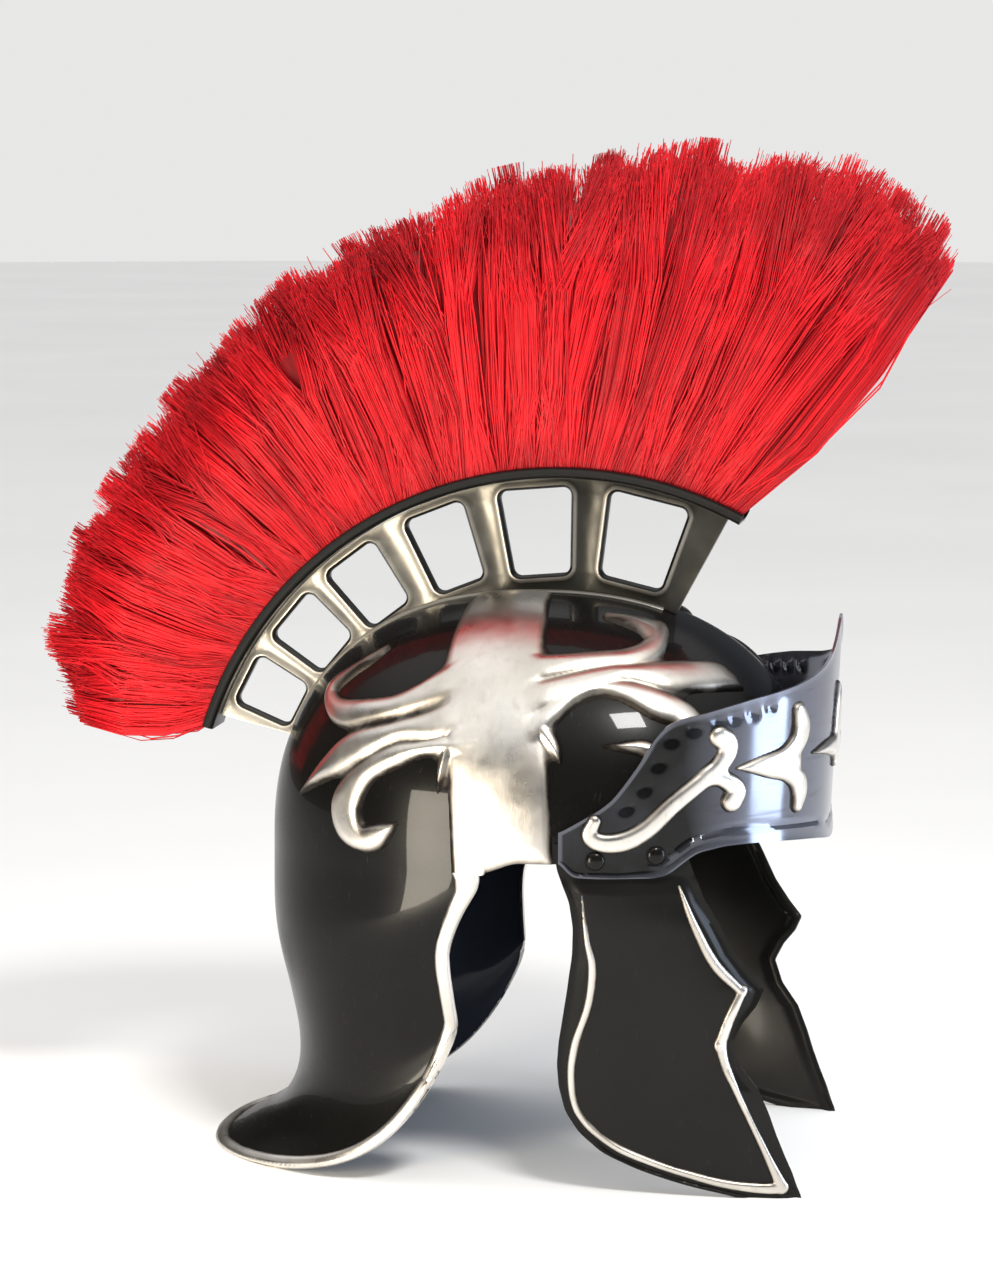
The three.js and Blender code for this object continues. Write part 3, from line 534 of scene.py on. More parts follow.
def silver(name, bright, dull, rough):
    """Rubbed bright metal with tarnish in streaks; along the relief's edges tarnish and painted shade
    darken it, and painted shade darkens it towards the crown.
    """
    n = Nodes(bpy.data.materials.new(name))
    raised = n.field("raised")
    cloud = n.noise(55, 6, distortion=0.4)
    streak = n.noise(120, 6, stretch=(2.5, 2.5, 1))
    # Tarnish and painted shade: near black along the relief's edges and in its creases, where the raised
    # field is low.
    low = n.span(n.math("ADD", raised, n.span(cloud, 0.3, 0.7, -0.12, 0.12)), 0.32, 0.04)
    stain = n.span(streak, 0.54, 0.74, 0, 0.22)
    worn = n.span(n.noise(20, 6), 0.35, 0.65, -0.35, 0.35)
    # Painted shade: the metal turns duller grey towards the crown, on top of the random wear.
    worn = n.math("ADD", worn, n.span(n.axis("Z"), 0.175, 0.215, 0, 0.55))
    tint = n.mix(n.span(n.noise(24, 3), 0.35, 0.65), colour(*bright), colour(*dull))
    tint = n.mix(stain, tint, colour(0.34, 0.3, 0.25))
    tint = n.mix(n.span(worn, 0, 1, 0, 0.8), tint, colour(0.4, 0.375, 0.33))
    # Painted shade with tarnish: brownish on the relief's slopes.
    tint = n.mix(n.span(raised, 0.75, 0.3, 0, 0.5), tint, colour(0.4, 0.345, 0.27))
    tint = n.mix(low, tint, colour(0.035, 0.03, 0.026))
    gloss = n.math("ADD", n.span(cloud, 0.3, 0.7, rough, rough + 0.16), n.math("MULTIPLY", low, 0.25))
    dents = n.bump(n.noise(90, 3), 0.16, 0.0008)
    brushed = n.bump(n.noise(1300, 3, stretch=(1, 1, 0.12)), 0.14, 0.0002, dents)
    return n.finish(Base_Color=tint, Roughness=gloss, Normal=brushed, Metallic=1.0)


def dark_steel(name):
    """Dark polished bluish band, with painted shade that makes it near black to the rear and painted
    highlight that makes its edges paler.
    """
    n = Nodes(bpy.data.materials.new(name))
    cloud = n.noise(22, 5)
    streak = n.noise(420, 4, stretch=(0.1, 0.1, 1))
    tint = n.mix(n.span(cloud, 0.3, 0.7), colour(0.13, 0.138, 0.172), colour(0.17, 0.18, 0.222))
    # Painted shade: near black towards the rear of the band.
    rear_shade = n.math("ADD", n.span(n.axis("X"), 0.128, 0.098), n.span(cloud, 0.3, 0.7, -0.15, 0.15))
    tint = n.mix(rear_shade, tint, colour(0.012, 0.012, 0.012))
    tint = n.mix(n.span(streak, 0.58, 0.75, 0, 0.4), tint, colour(0.02, 0.02, 0.024))
    # Painted highlight: paler on the band's raised border and hem.
    tint = n.mix(n.span(n.field("raised"), 0.1, 0.9, 0, 0.5), tint, colour(0.2, 0.21, 0.25))
    gloss = n.span(n.noise(70, 5), 0.3, 0.7, 0.1, 0.17)
    dents = n.bump(n.noise(26, 2), 0.12, 0.0015)
    brushed = n.bump(streak, 0.08, 0.0002, dents)
    return n.finish(Base_Color=tint, Roughness=gloss, Normal=brushed, Metallic=0.75)


def gunmetal(name):
    """Dark at the front of the crest holder and paler to the rear, with painted highlight on its raised
    rims and painted shade at its windows' edges.
    """
    n = Nodes(bpy.data.materials.new(name))
    rear = n.span(n.axis("X"), 0.03, -0.1)
    rear = n.math("ADD", rear, n.span(n.noise(30, 4), 0.3, 0.7, -0.1, 0.1))
    tint = n.mix(rear, colour(0.034, 0.032, 0.026), colour(0.36, 0.335, 0.285))
    # Painted highlight on the raised rims and on the crown bead's top.
    tint = n.mix(n.span(n.field("raised"), 0.1, 1, 0, 0.55), tint, colour(0.56, 0.52, 0.46))
    # Painted shade: near black at the windows' edges.
    tint = n.mix(n.span(n.field("groove"), 0.3, 1, 0, 0.9), tint, colour(0.01, 0.01, 0.009))
    gloss = n.span(n.noise(120, 5), 0.3, 0.7, 0.28, 0.42)
    skin = n.bump(n.noise(260, 4), 0.1, 0.0003)
    return n.finish(Base_Color=tint, Roughness=gloss, Normal=skin, Metallic=0.7)


def bristle(name, deep, bright):
    """Dyed bristle between two reds, darker in patches, with painted shade towards its root."""
    n = Nodes(bpy.data.materials.new(name))
    along, tint = n.field("along"), n.field("tint")
    base = n.mix(tint, colour(*deep), colour(*bright))
    patches = n.span(n.noise(30, 3), 0.42, 0.72, 0, 0.45)
    base = n.mix(patches, base, colour(*(part * 0.45 for part in deep)))
    # Painted shade: darker near the root.
    base = n.mix(n.span(along, 0.0, 0.18, 0.5, 0), base, colour(0.2, 0.002, 0.005))
    gloss = n.span(n.noise(200, 2), 0.3, 0.7, 0.42, 0.58)
    ridges = n.bump(n.noise(1600, 2), 0.1, 0.0002)
    return n.finish(Base_Color=base, Roughness=gloss, Normal=ridges, Specular_IOR_Level=0.28)


BLACK = black_paint("gloss_black", dark=(0.003, 0.003, 0.0027), light=(0.007, 0.0066, 0.006),
                    rough=0.22, level=0.07, coat=0.22, coat_rough=0.035)
SATIN = black_paint("satin_black", dark=(0.004, 0.004, 0.0035), light=(0.009, 0.0085, 0.0078),
                    rough=0.27, level=0.1, coat=0.12, coat_rough=0.1)
SILVER = silver("rubbed_silver", (0.86, 0.83, 0.78), (0.68, 0.64, 0.58), 0.24)
RIDGE = silver("ridge_silver", (0.82, 0.79, 0.74), (0.62, 0.58, 0.52), 0.26)
STEEL = dark_steel("dark_steel")
GUNMETAL = gunmetal("gunmetal")
RED = bristle("red_bristle", (0.38, 0.003, 0.008), (0.84, 0.013, 0.022))
# Darker copy of the bristle for the plume's backing: painted shade.
SHADED_RED = bristle("shaded_red", (0.2, 0.002, 0.005), (0.36, 0.004, 0.009))


# Skull: bowl and neck guard as one sheet

COLUMNS = 192
DOME_ROWS = 46
NECK_ROWS = 60
NECK_FIRST = 52
NECK_LAST = COLUMNS - NECK_FIRST

# Arch over the ear: how far it rises, and the angles from the front where it starts and is full
EAR_RISE, EAR_REAR, EAR_TOP = 4.8, 97.5, 87.0


def bowl_edge(degrees):
    """Height of the bowl's lower edge: under the brow band, over the ear and where the neck begins."""
    from_front = np.minimum(degrees, 360 - degrees)
    hidden = np.interp(from_front, BROW[:, 0], BROW[:, 2]) + 2
    front = np.maximum(hidden, 141)
    arch = NECK[0, 2] + EAR_RISE * smooth(from_front, EAR_REAR, EAR_TOP)
    return arch + (front - arch) * smooth(from_front, 72, 58)


def build_skull():
    angle = np.arange(COLUMNS) * 2 * math.pi / COLUMNS
    edge = (bowl_edge(np.degrees(angle)) - BOWL["base"]) / BOWL["rise"]
    limit = np.arccos(np.clip(edge, 0, 1) ** (SQUARENESS / 2))
    share = np.linspace(0.012, 1, DOME_ROWS)[:, None]
    dome = bowl_point(angle[None, :], limit[None, :] * share)
    t = np.linspace(-1, 1, NECK_LAST - NECK_FIRST + 1)[None, :]
    u = np.linspace(0, len(NECK) - 1, NECK_ROWS)[1:, None]
    neck = neck_surface(u, t)
    crown = np.array([[0, 0, BOWL["base"] + BOWL["rise"]]])
    points = np.vstack([dome.reshape(-1, 3), neck.reshape(-1, 3), crown])
    quads = [grid_quads(DOME_ROWS, COLUMNS, closed=True)]
    top = len(points) - 1
    ring = np.arange(0, COLUMNS, 2)
    quads.append(np.stack([np.full(len(ring), top), ring, ring + 1, (ring + 2) % COLUMNS], 1))
    width = t.shape[1]
    number = np.vstack([
        (DOME_ROWS - 1) * COLUMNS + NECK_FIRST + np.arange(width),
        DOME_ROWS * COLUMNS + np.arange((NECK_ROWS - 1) * width).reshape(NECK_ROWS - 1, width),
    ])
    cells = [number[:-1, :-1], number[1:, :-1], number[1:, 1:], number[:-1, 1:]]
    quads.append(np.stack(cells, -1).reshape(-1, 4))
    outer = np.zeros(len(points))
    corners, faces, _ = shell(points, np.vstack(quads), outer, outer - SHEET, from_middle)
    inner = np.repeat((0.0, 1.0), len(corners) // 2)
    piece = add_mesh("skull_sheet", corners, faces, BLACK, {"inner": inner})
    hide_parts("skull")


def build_neck_edge():
    """Silver rim along the ear arches and the neck guard's rim, rolled over the sheet's edge."""
    last = len(NECK) - 1
    t = np.linspace(-1.012, 1.012, 400)
    u = np.concatenate([np.linspace(0, 1, 40), np.linspace(1, last, 150)[1:], [last + 0.03]])
    tt, uu = np.meshgrid(t, u)
    row, inner = np.minimum(uu, last), np.clip(tt, -1, 1)
    points = neck_surface(row, inner)
    beyond = unit(points - neck_surface(row, inner * 0.99))
    below = unit(points - neck_surface(row - 0.05, inner))
    points = points + beyond * np.where(np.abs(tt) > 1, 0.5, 0)[..., None]
    points = points + below * np.where(uu > last, 0.5, 0)[..., None]
    rows = np.linspace(-0.6, last, 110)
    border = np.vstack([
        neck_surface(rows, np.full(110, -1.0)), neck_surface(rows, np.full(110, 1.0)),
        neck_surface(np.full(260, float(last)), np.linspace(-1, 1, 260)),
    ])
    gap = np.array([np.sqrt(((line[:, None] - border) ** 2).sum(-1)).min(1) for line in points])
    width = np.interp(uu, np.arange(len(NECK)), NECK[:, 5])
    outside = (np.abs(tt) > 1) | (uu > last)
    share = np.where(outside, 0.6, (width - gap) / 2.4)
    share = np.where((uu < 0.6) & (np.abs(tt) < 0.5), -1, share)
    roll = np.clip(np.where(outside, 0.3, 0.5 + gap / 2.5), 0, 1)
    height = 1.9 + 0.3 * smooth(uu, 1.2, 0)
    low = np.where(gap < 1.0, -1.6, -0.6)
    top = np.maximum(round_profile(share) * height * roll, low + 0.1)
    # The share goes on as the raised field, which paints shade with tarnish along the rim's edges.
    piece = grid_piece("neck_rim", SILVER, points, top, low, keep=share, sharp=60,
                       raised=np.clip(share * 1.4, 0, 1))
    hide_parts("neck_edge")


def build_scrolls(side, name):
    """Trunk and scrolls of one side as one relief on the bowl, with creases where they meet; painted shade
    darkens the creases and the trunk's rear edge.
    """
    x = np.linspace(-102, 94, 270)
    xx, rise = np.meshgrid(x, np.linspace(0, 1, 150))
    scale = np.clip(1 - np.abs(xx / BOWL["half_length"]) ** SQUARENESS, 0, 1) ** (1 / SQUARENESS)
    power = 2 / SQUARENESS
    edge = bowl_edge(np.degrees(np.arctan2(BOWL["half_width"] * scale, xx)))
    above = np.clip((edge - BOWL["base"]) / (BOWL["rise"] * scale), 0, 1)
    lowest = np.where(xx > NECK[0, 0], np.arcsin(above ** (1 / power)), 0)
    tt = lowest + (math.pi / 2 - 0.09 - lowest) * rise
    y = side * BOWL["half_width"] * scale * np.cos(tt) ** power
    z = BOWL["base"] + BOWL["rise"] * scale * np.sin(tt) ** power
    points = np.stack([xx, y, z], -1)
    strokes, single = stroke_depth(SCROLLS, xx, z, web=5.0)
    rear, front = (table_curve(TRUNK, k, z, 3.0) for k in (1, 2))
    foot = np.where(xx > NECK[0, 0], z - edge + 0.6, 9.0)
    trunk = np.minimum(np.minimum(xx - rear, front - xx), foot)
    depth = joined(strokes, trunk, 6.0)
    depth = np.where(np.abs(y) > 6.2, depth, np.minimum(depth, -0.2))
    body = round_profile(np.clip(trunk / 3.4, 0, 1)) * 2.2
    web = round_profile(np.clip(depth / 4.4, 0, 1)) * 1.7
    leaf = np.maximum(web, round_profile(np.clip(single / 5.2, 0, 1)) * 3.1)
    blend = smooth(trunk, -2, 9)
    top = np.where(depth > 0, leaf * (1 - blend) + np.maximum(body, leaf * 0.75) * blend, depth)
    alone = np.clip(single / 3.5, 0, 1)
    # Painted shade in the creases where strokes meet.
    crease_shade = alone + (1 - alone) * (0.3 + 0.7 * smooth(trunk, 0, 5))
    # Painted shade: a dark line along the trunk's rear edge, below its upper part.
    line = np.exp(-((xx - rear - 0.9) / 0.6) ** 2) * smooth(z, 186, 176)
    tone = np.clip(depth / 4.4, 0, 1) * crease_shade * (1 - line)
    piece = grid_piece(f"scroll_relief_{name}", SILVER, points, np.maximum(top, -0.6), -0.7,
                       keep=depth, sharp=60, raised=tone)
    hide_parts(f"scroll_{name}")


# Brow band and its relief

# Millimetres along the band for each degree
ARC = math.radians(1) * 112


def build_brow_band():
    last = BROW[-1, 0]
    degrees = np.linspace(-last, last, 250)
    top = table_curve(BROW, 1, np.abs(degrees), 1.6)
    bottom = table_curve(BROW, 2, np.abs(degrees), 2.0)
    z = bottom + (top - bottom) * np.linspace(0, 1, 42)[:, None]
    dd = np.broadcast_to(degrees, z.shape)
    points = visor_point(dd, z)
    from_bottom = (z - bottom) / np.hypot(1, np.gradient(bottom, degrees * ARC))
    from_top = (top - z) / np.hypot(1, np.gradient(top, degrees * ARC))
    from_end = (last - np.abs(dd)) * ARC
    hem = smooth(from_bottom, 6.4, 5.2) * smooth(np.abs(dd), 60, 54)
    groove = np.exp(-((from_bottom - 6.6) / 0.7) ** 2) * smooth(np.abs(dd), 60, 54)
    border = smooth(np.minimum(np.minimum(from_end, from_top), from_bottom), 1.9, 1.1)
    dimple = np.zeros_like(dd)
    for at, height in DIMPLES:
        across = (np.abs(dd) - at) * ARC
        dimple = np.maximum(dimple, np.exp(-(across / 2.6) ** 2 - ((z - height) / 2.4) ** 2))
    high = 0.9 * hem - 0.5 * groove + 0.5 * border - 1.6 * dimple
    # Painted highlight: the border and the hem are marked for a paler tint.
    raised = np.clip(0.75 * border + 0.5 * hem, 0, 1)
    piece = grid_piece("brow_plate", STEEL, points, high, high - SHEET, raised=raised)
    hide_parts("brow_band")


def build_brow_relief(name, strokes, mirror, arc_low, arc_high, z_low, z_high):
    arc = np.arange(arc_low, arc_high, 0.55)
    z = np.arange(z_low, z_high, 0.55)
    aa, zz = np.meshgrid(arc, z)
    share = stroke_depth(strokes, aa, zz, scale_u=ARC, web=3.0)[0] / 3.3
    points = visor_point(mirror * aa / ARC, zz)
    return relief(name, points, share, 2.4, -0.7, SILVER)


# Cheek guards

def cheek_edges(z):
    return table_curve(CHEEK, 1, z, 3.0), table_curve(CHEEK, 2, z, 0.8)


def cheek_form(x, z):
    """Height of the panel and of the rim's bead over the guard's sheet, at points of its side view."""
    rear, front = cheek_edges(z)
    step = 0.5
    lower, upper = cheek_edges(z - step), cheek_edges(z + step)
    rear_slope, front_slope = ((b - a) / (2 * step) for a, b in zip(lower, upper))
    margin = np.minimum((x - rear) / np.hypot(1, rear_slope), (front - x) / np.hypot(1, front_slope))
    panel = smooth(margin, 2.0, 6.5) * smooth(z, 139, 131)
    bead = smooth(margin, 1.7, 0.9) * smooth(z, 139, 134)
    across = np.clip((x - rear) / (front - rear), 0, 1)
    crown = (1 - (2 * across - 1) ** 2) * smooth(z, 0, 60) * smooth(z, 139, 115)
    return 1.2 * panel + 0.7 * bead + 1.8 * crown * panel


def build_cheek_guard(side, name):
    z = np.concatenate([np.linspace(CHEEK[-1, 0], 6, 22), np.linspace(6, CHEEK[0, 0], 150)[1:]])
    qq, zz = np.meshgrid(np.linspace(0, 1, 44), z)
    rear, front = cheek_edges(zz)
    x = rear + (front - rear) * qq
    points = np.stack([x, side * cheek_width(x, zz), zz], -1)
    high = cheek_form(x, zz)
    piece = grid_piece(f"cheek_plate_{name}", SATIN, points, high, high - SHEET)
    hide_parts(f"cheek_guard_{name}")


def build_cheek_lines(side, name):
    xx, zz = np.meshgrid(np.arange(20, 118, 0.5), np.arange(0.4, 136, 0.5))
    share = stroke_depth(CHEEK_LINES, xx, zz, web=1.0)[0] / 2.0
    rear, front = cheek_edges(zz)
    inside = np.minimum(xx - rear, front - xx)
    share = np.where(inside > 0.6, share, np.minimum(share, -0.05))
    points = np.stack([xx, side * cheek_width(xx, zz), zz], -1)
    points[..., 1] += side * np.where(inside > -1, cheek_form(xx, zz), 0)
    piece = relief(f"cheek_ridge_{name}", points, share, 1.4, -0.7, RIDGE)
    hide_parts(f"cheek_line_{name}")


def build_rivet(side, name, x, z, which):
    centre = np.array([x, side * cheek_width(x, z), z])
    ahead = np.array([x + 0.5, side * cheek_width(x + 0.5, z), z])
    tangent = (ahead - centre) / np.linalg.norm(ahead - centre)
    outward = np.array([tangent[1], -tangent[0], 0])
    outward = outward * side * np.sign(outward[1])
    up = np.array([0, 0, 1.0])
    foot = RIVET_SHANK[-1][1]
    dome = [(RIVET_DOME["radius"] * math.cos(a), foot + RIVET_DOME["height"] * math.sin(a))
            for a in np.linspace(0, math.pi / 2, 8)]
    profile = [*RIVET_SHANK, *dome]
    ring = np.linspace(0, 2 * math.pi, 28, endpoint=False)
    rows = [centre + outward * h + r * (np.cos(ring)[:, None] * tangent + np.sin(ring)[:, None] * up)
            for r, h in profile]
    corners = np.vstack(rows)
    faces = grid_quads(len(rows), len(ring), closed=True)
    middle = corners.mean(0)
    normals = vertex_normals(corners, faces)
    if np.sum(normals * (corners - middle)) < 0:
        faces = faces[:, ::-1]
    piece = add_mesh(f"rivet_head_{which}_{name}", corners, faces, BLACK)
    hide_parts(f"rivet_{which}_{name}")


# Crest holder, channel and the bead on the crown

def foot_line(steps):
    """Foot of the holder over the crown, front to rear, in x and z."""
    front, rear = (math.acos(HOLDER[key] / BOWL["half_length"]) for key in ("foot_front", "foot_rear"))
    x = BOWL["half_length"] * np.cos(np.linspace(front, rear, steps))
    return np.stack([x, bowl_height(x, 0.0) + GAP], 1)


def window_loop(window, grow):
    """Outline of a window with rounded corners, grown by a distance, in x and z."""
    start, end, inner = window
    middle, half = (start + end) / 2, math.radians(end - start) / 2
    corner = HOLDER["corner"] + grow
    low, high = inner - grow + corner, HOLDER["window_top"] + grow - corner
    loop = []
    for k, (side, radius) in enumerate(((1, high), (-1, high), (-1, low), (1, low))):
        along = side * (half * radius + grow - corner)
        for a in np.linspace(0, math.pi / 2, 7) + k * math.pi / 2:
            at = radius + corner * math.sin(a)
            turn = (along + corner * math.cos(a)) / radius
            loop.append(crest_point(middle + math.degrees(turn), at)[[0, 2]])
    return np.array(loop)


def inside_loop(points, loop):
    """Whether each point lies inside a closed outline, by the edges that a ray from it crosses."""
    x, y = points[:, 0][:, None], points[:, 1][:, None]
    a, b = loop, np.roll(loop, -1, 0)
    crosses = (a[:, 1] > y) != (b[:, 1] > y)
    with np.errstate(divide="ignore", invalid="ignore"):
        at = (b[:, 0] - a[:, 0]) * (y - a[:, 1]) / (b[:, 1] - a[:, 1]) + a[:, 0]
    return (crosses & (x < at)).sum(1) % 2 == 1


def build_holder():
    """Upright plate with windows, triangulated between its outline and the rims of the windows."""
    web = CREST["top_radius"] - CHANNEL["depth"] - GAP
    arc = crest_point(np.linspace(HOLDER["rear"], HOLDER["front"], 150), web)[:, [0, 2]]
    outline = np.vstack([arc, foot_line(150)])
    flat, edges, known = [], [], []

    def put(loop, height, raised, groove):
        first = len(flat)
        flat.extend(map(tuple, loop))
        known.extend([(height, raised, groove)] * len(loop))
        edges.extend((first + k, first + (k + 1) % len(loop)) for k in range(len(loop)))

    put(outline, HOLDER["half"], 0.0, 0.0)
    for window in WINDOWS:
        for grow, height, raised, groove in WINDOW_RIMS:
            put(window_loop(window, grow), height, raised, groove)
    made, _, triangles, origin, _, _ = delaunay_2d_cdt([Vector(p) for p in flat], edges, [], 0, 1e-4)
    corners = np.array([tuple(v) for v in made])
    values = np.array([known[o[0]] if o else (HOLDER["half"], 0.0, 0.0) for o in origin])
    triangles = np.array(triangles)
    middles = corners[triangles].mean(1)
    keep = inside_loop(middles, outline)
    for window in WINDOWS:
        keep &= ~inside_loop(middles, window_loop(window, 0.0))
    triangles = triangles[keep]
    points = np.stack([corners[:, 0], np.zeros(len(corners)), corners[:, 1]], 1)
    quads = np.hstack([triangles, triangles[:, 2:]])
    # The raised field paints highlight on the rims, the groove field paints shade at the windows' edges.
    corners, faces, fields = shell(points, quads, values[:, 0], -values[:, 0],
                                   lambda p: np.tile((0, -1.0, 0), (len(p), 1)),
                                   {"raised": values[:, 1], "groove": values[:, 2]})
    piece = add_mesh("crest_frame", corners, faces, GUNMETAL, fields, sharp=50)
    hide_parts("crest_holder")


def build_crown_bead(side, name):
    """Half-round bead on the crown along the holder's foot."""
    line = foot_line(140)[4:-3]
    around = np.linspace(0, math.pi, 9)
    rows = []
    for x, z in line:
        slope = float(bowl_height(x + 0.1, 0.0) - bowl_height(x - 0.1, 0.0)) / 0.2
        up = np.array([-slope, 0, 1]) / math.hypot(1, slope)
        base = np.array([x, side * CROWN_BEAD["y"], z - 0.5])
        outward = CROWN_BEAD["half_width"] * np.cos(around)[:, None] * (0, side, 0)
        rows.append(base + outward + CROWN_BEAD["height"] * np.sin(around)[:, None] * up)
    points = np.array(rows)
    # Painted highlight along the bead's top.
    raised = np.tile(np.sin(around), (len(line), 1))
    piece = grid_piece(f"crown_bead_{name}", GUNMETAL, points, 0.0, -0.5, raised=raised)


def build_channel():
    """U-shaped trough along the top of the holder, with a lip on each wing."""
    half, depth, wall = CHANNEL["half_width"], CHANNEL["depth"], CHANNEL["wall"]
    out = half - wall / 2
    low = CREST["top_radius"] - depth + wall / 2
    bend = 1.4
    quarter = np.linspace(0, math.pi / 2, 6)
    corner = [(out - bend + bend * math.sin(a), low + bend - bend * math.cos(a)) for a in quarter]
    wing = corner + [(out, CREST["top_radius"] - 1.2), (out + 0.35, CREST["top_radius"] - 0.4)]
    section = [(-y, r) for y, r in reversed(wing)] + [(y, r) for y, r in wing]
    angles = np.linspace(CREST["front"], CREST["rear"], 150)
    points = np.array([[crest_point(a, r, y) for y, r in section] for a in angles])
    piece = grid_piece("crest_trough", SATIN, points, wall / 2, -wall / 2,
                       outward=lambda p: (CREST["x"], 0, CREST["z"]) - p)
    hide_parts("crest_channel")


# Plume: bristles in tufts over a backing

PLUME = {"root_front": 63.2, "root_rear": 161.3, "tip_front": 57.0, "tip_rear": 166.6}
PLUME_BASE = CREST["top_radius"] - CHANNEL["depth"] + CHANNEL["wall"] + GAP
PLUME_PIECES = 4
STRANDS_PER_PIECE = 6400
SEGMENTS = 3
TUFTS = 62
LAYERS = 4
STRAY_SHARE, SHORT_SHARE = 0.025, 0.12


def reach_at(degrees):
    return np.interp(degrees, REACH[:, 0], REACH[:, 1])


def build_backing():
    """Mass of bristle inside the plume, in valleys and ridges, that closes the view through it, given a
    darker red as painted shade.
    """
    columns = 190
    along = np.linspace(0, 1, columns)
    root = PLUME["root_front"] + (PLUME["root_rear"] - PLUME["root_front"]) * along
    tip = PLUME["tip_front"] + 1.2 + (PLUME["tip_rear"] - PLUME["tip_front"] - 2.4) * along
    wave = 0.5 + 0.5 * np.sin(along * TUFTS * 2 * math.pi) * np.cos(along * 31)
    grid = []
    for side in (-1, 1):
        for share, half in BACKING if side < 0 else BACKING[::-1]:
            radius = PLUME_BASE + (reach_at(tip) - PLUME_BASE) * share * (1 - 0.04 * wave)
            lean = root + (tip - root) * (1 - (1 - share) ** 1.8)
            grid.append(crest_point(lean, radius, side * half * (1 - 0.2 * wave * min(1, share * 3))))
    points = np.array(grid).transpose(1, 0, 2)
    count = points.shape[1]
    faces = grid_quads(columns, count, closed=True)
    for k in (0, columns - 1):
        caps = k * count + np.array([[i, i + 1, count - 2 - i, count - 1 - i]
                                     for i in range(count // 2 - 1)])
        faces = np.vstack([faces, caps if k else caps[:, ::-1]])
    corners = points.reshape(-1, 3)
    share = np.tile([s for s, _ in BACKING + BACKING[::-1]], columns)
    piece = add_mesh("plume_backing", corners, faces, SHADED_RED,
                     {"along": share, "tint": np.tile(wave[:, None], (1, count)).ravel()}, sharp=80)
    return piece


def strand_lines(rng, number):
    """Centre lines of bristles: polar about the crest centre, gathered into tufts towards their tips."""
    count = STRANDS_PER_PIECE
    along = rng.uniform(number / PLUME_PIECES, (number + 1) / PLUME_PIECES, count)
    across = rng.uniform(-1, 1, count)
    across = np.sign(across) * np.abs(across) ** 0.5
    tufts = np.random.default_rng(41)
    layout = (LAYERS, TUFTS)
    centre = (np.arange(TUFTS) + tufts.uniform(0.05, 0.95, layout)) / TUFTS
    lean = tufts.normal(0, 1.0, layout)
    longer = tufts.normal(0, 3.4, layout)
    curl = tufts.normal(0, 1.0, layout)
    shade = tufts.uniform(0, 1, layout)
    open_gap = tufts.uniform(0.35, 0.85, layout)
    layer = np.clip(np.floor((across + 1) * LAYERS / 2), 0, LAYERS - 1).astype(int)
    mine = np.abs(along[:, None] + rng.normal(0, 0.004, (count, 1)) - centre[layer]).argmin(1)
    pull = rng.uniform(0.25, 0.95, count) * open_gap[layer, mine]
    end = along + (centre[layer, mine] - along) * pull
    root = PLUME["root_front"] + (PLUME["root_rear"] - PLUME["root_front"]) * along
    tip = PLUME["tip_front"] + (PLUME["tip_rear"] - PLUME["tip_front"]) * np.clip(end, 0, 1)
    edge = smooth(np.minimum(along, 1 - along), 0, 0.05)
    tip = tip + lean[layer, mine] * edge * 0.9 + rng.normal(0, 0.4, count) * edge
    stray = rng.uniform(0, 1, count) < STRAY_SHARE
    tip = tip + np.where(stray, rng.normal(0, 3.4, count), 0) * edge
    crowned = 1 - 0.13 * np.abs(across) ** 2.6
    reach = PLUME_BASE + (reach_at(tip) - PLUME_BASE) * crowned
    short = np.abs(rng.normal(0, 1.5, count))
    short += np.where(rng.uniform(0, 1, count) < SHORT_SHARE, rng.uniform(0, 22, count), 0)
    reach = reach + longer[layer, mine] - short + np.where(stray, 3.0, 0)
    reach = np.minimum(reach, reach_at(tip) + 5)
    share = np.linspace(0, 1, SEGMENTS + 1)[None, :]
    quick = (1.8 + 1.9 * np.exp(-along / 0.07) + 1.2 * np.exp(-(1 - along) / 0.06))[:, None]
    bend = 1 - (1 - share) ** quick
    sway = (curl[layer, mine] * 1.2 + rng.normal(0, 0.4, count))[:, None] * np.sin(share * math.pi * 1.15)
    degrees = root[:, None] + (tip - root)[:, None] * bend + sway * edge[:, None]
    radius = PLUME_BASE + (reach - PLUME_BASE)[:, None] * share
    width = 9.2 + 7.8 * smooth(share, 0, 0.55) - 2.5 * smooth(share, 0.6, 1)
    closer = 1 - 0.16 * smooth(share, 0.4, 1) * pull[:, None]
    y = across[:, None] * width * closer + rng.normal(0, 0.7, count)[:, None] * share
    y = y + np.sin(share * 5 + curl[layer, mine][:, None] * 3) * 0.8 * share
    tint = np.clip(0.2 + 0.62 * shade[layer, mine] + rng.normal(0, 0.26, count), 0, 1)
    return crest_point(degrees, radius, y), tint


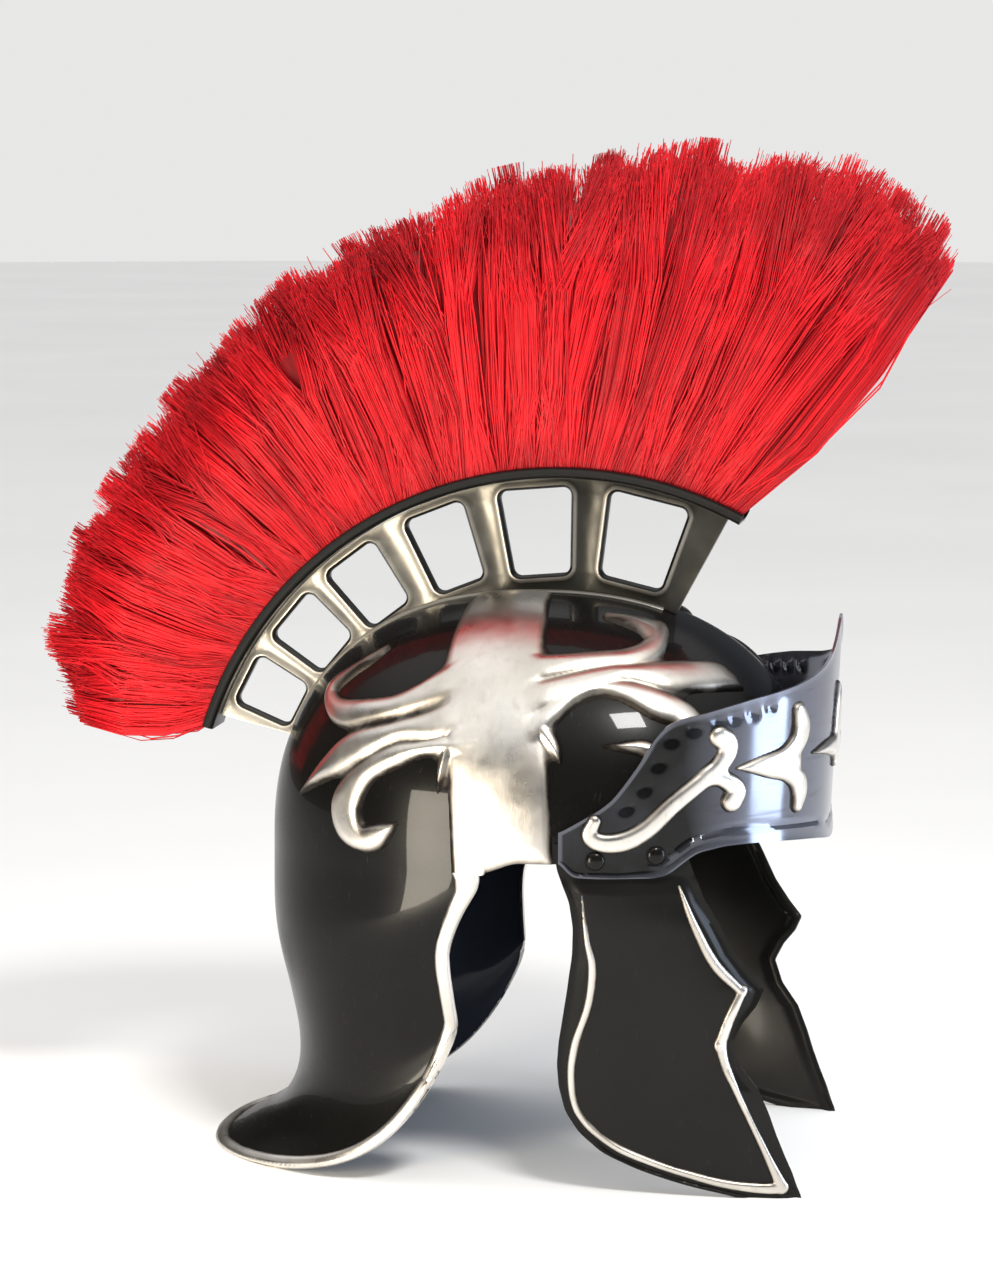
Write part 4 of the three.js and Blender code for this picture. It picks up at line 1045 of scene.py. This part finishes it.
def build_strands(number):
    """One part of the fan: three-sided bristles along their centre lines, with closed tips."""
    rng = np.random.default_rng(100 + number)
    lines, tint = strand_lines(rng, number)
    count = len(lines)
    tangent = unit(np.gradient(lines, axis=1))
    side = unit(np.cross(tangent, (0, 1.0, 0)))
    other = np.cross(tangent, side)
    taper = np.interp(np.linspace(0, 1, SEGMENTS + 1), (0, 0.5, 0.8, 1), (1.0, 1.0, 0.85, 0.42))
    thick = rng.uniform(0.34, 0.54, count)[:, None] * taper[None, :]
    roll = rng.uniform(0, 2 * math.pi, count)
    corners = np.empty((count, SEGMENTS + 1, 3, 3))
    for k in range(3):
        turn = (roll + k * 2 * math.pi / 3)[:, None, None]
        corners[:, :, k] = lines + (np.cos(turn) * side + np.sin(turn) * other) * thick[..., None]
    ring = grid_quads(SEGMENTS + 1, 3, closed=True)[:, ::-1]
    per = (SEGMENTS + 1) * 3
    base = (np.arange(count) * per)[:, None, None]
    faces = (base + ring[None]).reshape(-1, 4)
    tips = (base[:, 0] + np.array([[per - 3, per - 2, per - 1]])).reshape(-1, 3)
    faces = np.vstack([faces, np.hstack([tips, tips[:, 2:]])])
    share = np.tile(np.repeat(np.linspace(0, 1, SEGMENTS + 1), 3), count)
    piece = add_mesh(f"plume_bristles_{number + 1}", corners.reshape(-1, 3), faces, RED,
                     {"along": share, "tint": np.repeat(tint, per)}, sharp=180)


build_skull()
build_neck_edge()
build_brow_band()
build_holder()
build_channel()
for side, name in ((-1, "right"), (1, "left")):
    build_scrolls(side, name)
    build_cheek_guard(side, name)
    build_cheek_lines(side, name)
    build_crown_bead(side, name)
    for x, z, which in RIVETS:
        build_rivet(side, name, x, z, which)
    scroll = build_brow_relief(f"brow_curl_{name}", BROW_SIDE, -side, 68, 146, 145, 206)
    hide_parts(f"brow_scroll_{name}")
    arrow = build_brow_relief(f"brow_leaf_{name}", BROW_ARROW, -side, 34, 80, 156, 210)
    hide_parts(f"brow_arrow_{name}")
centre = build_brow_relief("brow_star", BROW_CENTRE, 1, -38, 38, 166, 212)
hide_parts("brow_scroll_centre")
backing = build_backing()
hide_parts("plume")
for number in range(PLUME_PIECES):
    build_strands(number)


# Floor, lights and camera

def pale_floor():
    mesh = bpy.data.meshes.new("floor")
    ring = np.linspace(0, 2 * math.pi, 96, endpoint=False)
    corners = [(9 * math.cos(a), 9 * math.sin(a), 0) for a in ring]
    mesh.from_pydata(corners, [], [list(range(len(corners)))])
    n = Nodes(bpy.data.materials.new("floor_paper"))
    tint = n.mix(n.span(n.noise(2.5, 3), 0.3, 0.7), colour(0.86, 0.855, 0.845), colour(0.9, 0.895, 0.885))
    mesh.materials.append(n.finish(Base_Color=tint, Roughness=0.75))
    floor = placed("floor", mesh)


def soft_light(name, place, aim, size, radiance, tint):
    """Rectangular studio light that faces a point, of a brightness given by its own surface."""
    lamp = bpy.data.lights.new(name, "AREA")
    lamp.shape = "RECTANGLE"
    lamp.size, lamp.size_y = size
    lamp.energy = radiance * math.pi * size[0] * size[1]
    lamp.color = tint
    light = placed(name, lamp)
    light.location = place
    light.rotation_euler = (Vector(aim) - Vector(place)).to_track_quat("-Z", "Y").to_euler()
    light.visible_camera = False


pale_floor()
soft_light("key_high", (0.78, -1.1, 1.8), (0, 0, 0.2), (0.42, 0.3), 78, (1.0, 0.99, 0.97))
soft_light("front_cool", (0.7, -0.02, 0.2), (0.13, -0.06, 0.17), (0.27, 0.38), 9, (0.7, 0.82, 1.0))
soft_light("side_warm", (-0.34, -0.66, 0.16), (-0.01, -0.09, 0.15), (0.2, 0.32), 26, (1.0, 0.9, 0.74))

sky = Nodes(bpy.data.worlds.new("studio"), "Generated")


def blend(factor, low, high, dark, light):
    """World colour that goes from dark to light as a factor goes from low to high."""
    return sky.mix(sky.span(factor, low, high, interpolation_type="SMOOTHSTEP"), dark, light)


low_part = blend(sky.axis("X"), -0.6, 0.9, colour(0.05, 0.048, 0.045), colour(0.15, 0.165, 0.2))
lit = blend(sky.axis("Z"), 0.4, 0.9, low_part, colour(1.4, 1.4, 1.4))
seen = sky.node("ShaderNodeLightPath").outputs["Is Camera Ray"]
sky.plug(blend(seen, 0, 1, lit, colour(0.8, 0.8, 0.795)), sky.tree.nodes["Background"].inputs["Color"])
bpy.context.scene.world = sky.owner
bpy.context.scene.view_settings.view_transform = "Standard"

# The photograph's height and focal length in its own pixels, and where its camera stands
PHOTO = {"height": 1280, "focal": 3910}
azimuth, elevation, distance = math.radians(10.5), math.radians(8), 1.7
camera_data = bpy.data.cameras.new("camera")
camera_data.sensor_width = 36
camera_data.lens = PHOTO["focal"] * camera_data.sensor_width / PHOTO["height"]
camera = placed("camera", camera_data)
back = Vector((
    math.sin(azimuth) * math.cos(elevation),
    -math.cos(azimuth) * math.cos(elevation),
    math.sin(elevation),
))
target = Vector(((SHIFT - 23) / 1000, 0, 0.222))
camera.location = target + back * distance
camera.rotation_euler = (-back).to_track_quat("-Z", "Y").to_euler()
bpy.context.scene.camera = camera
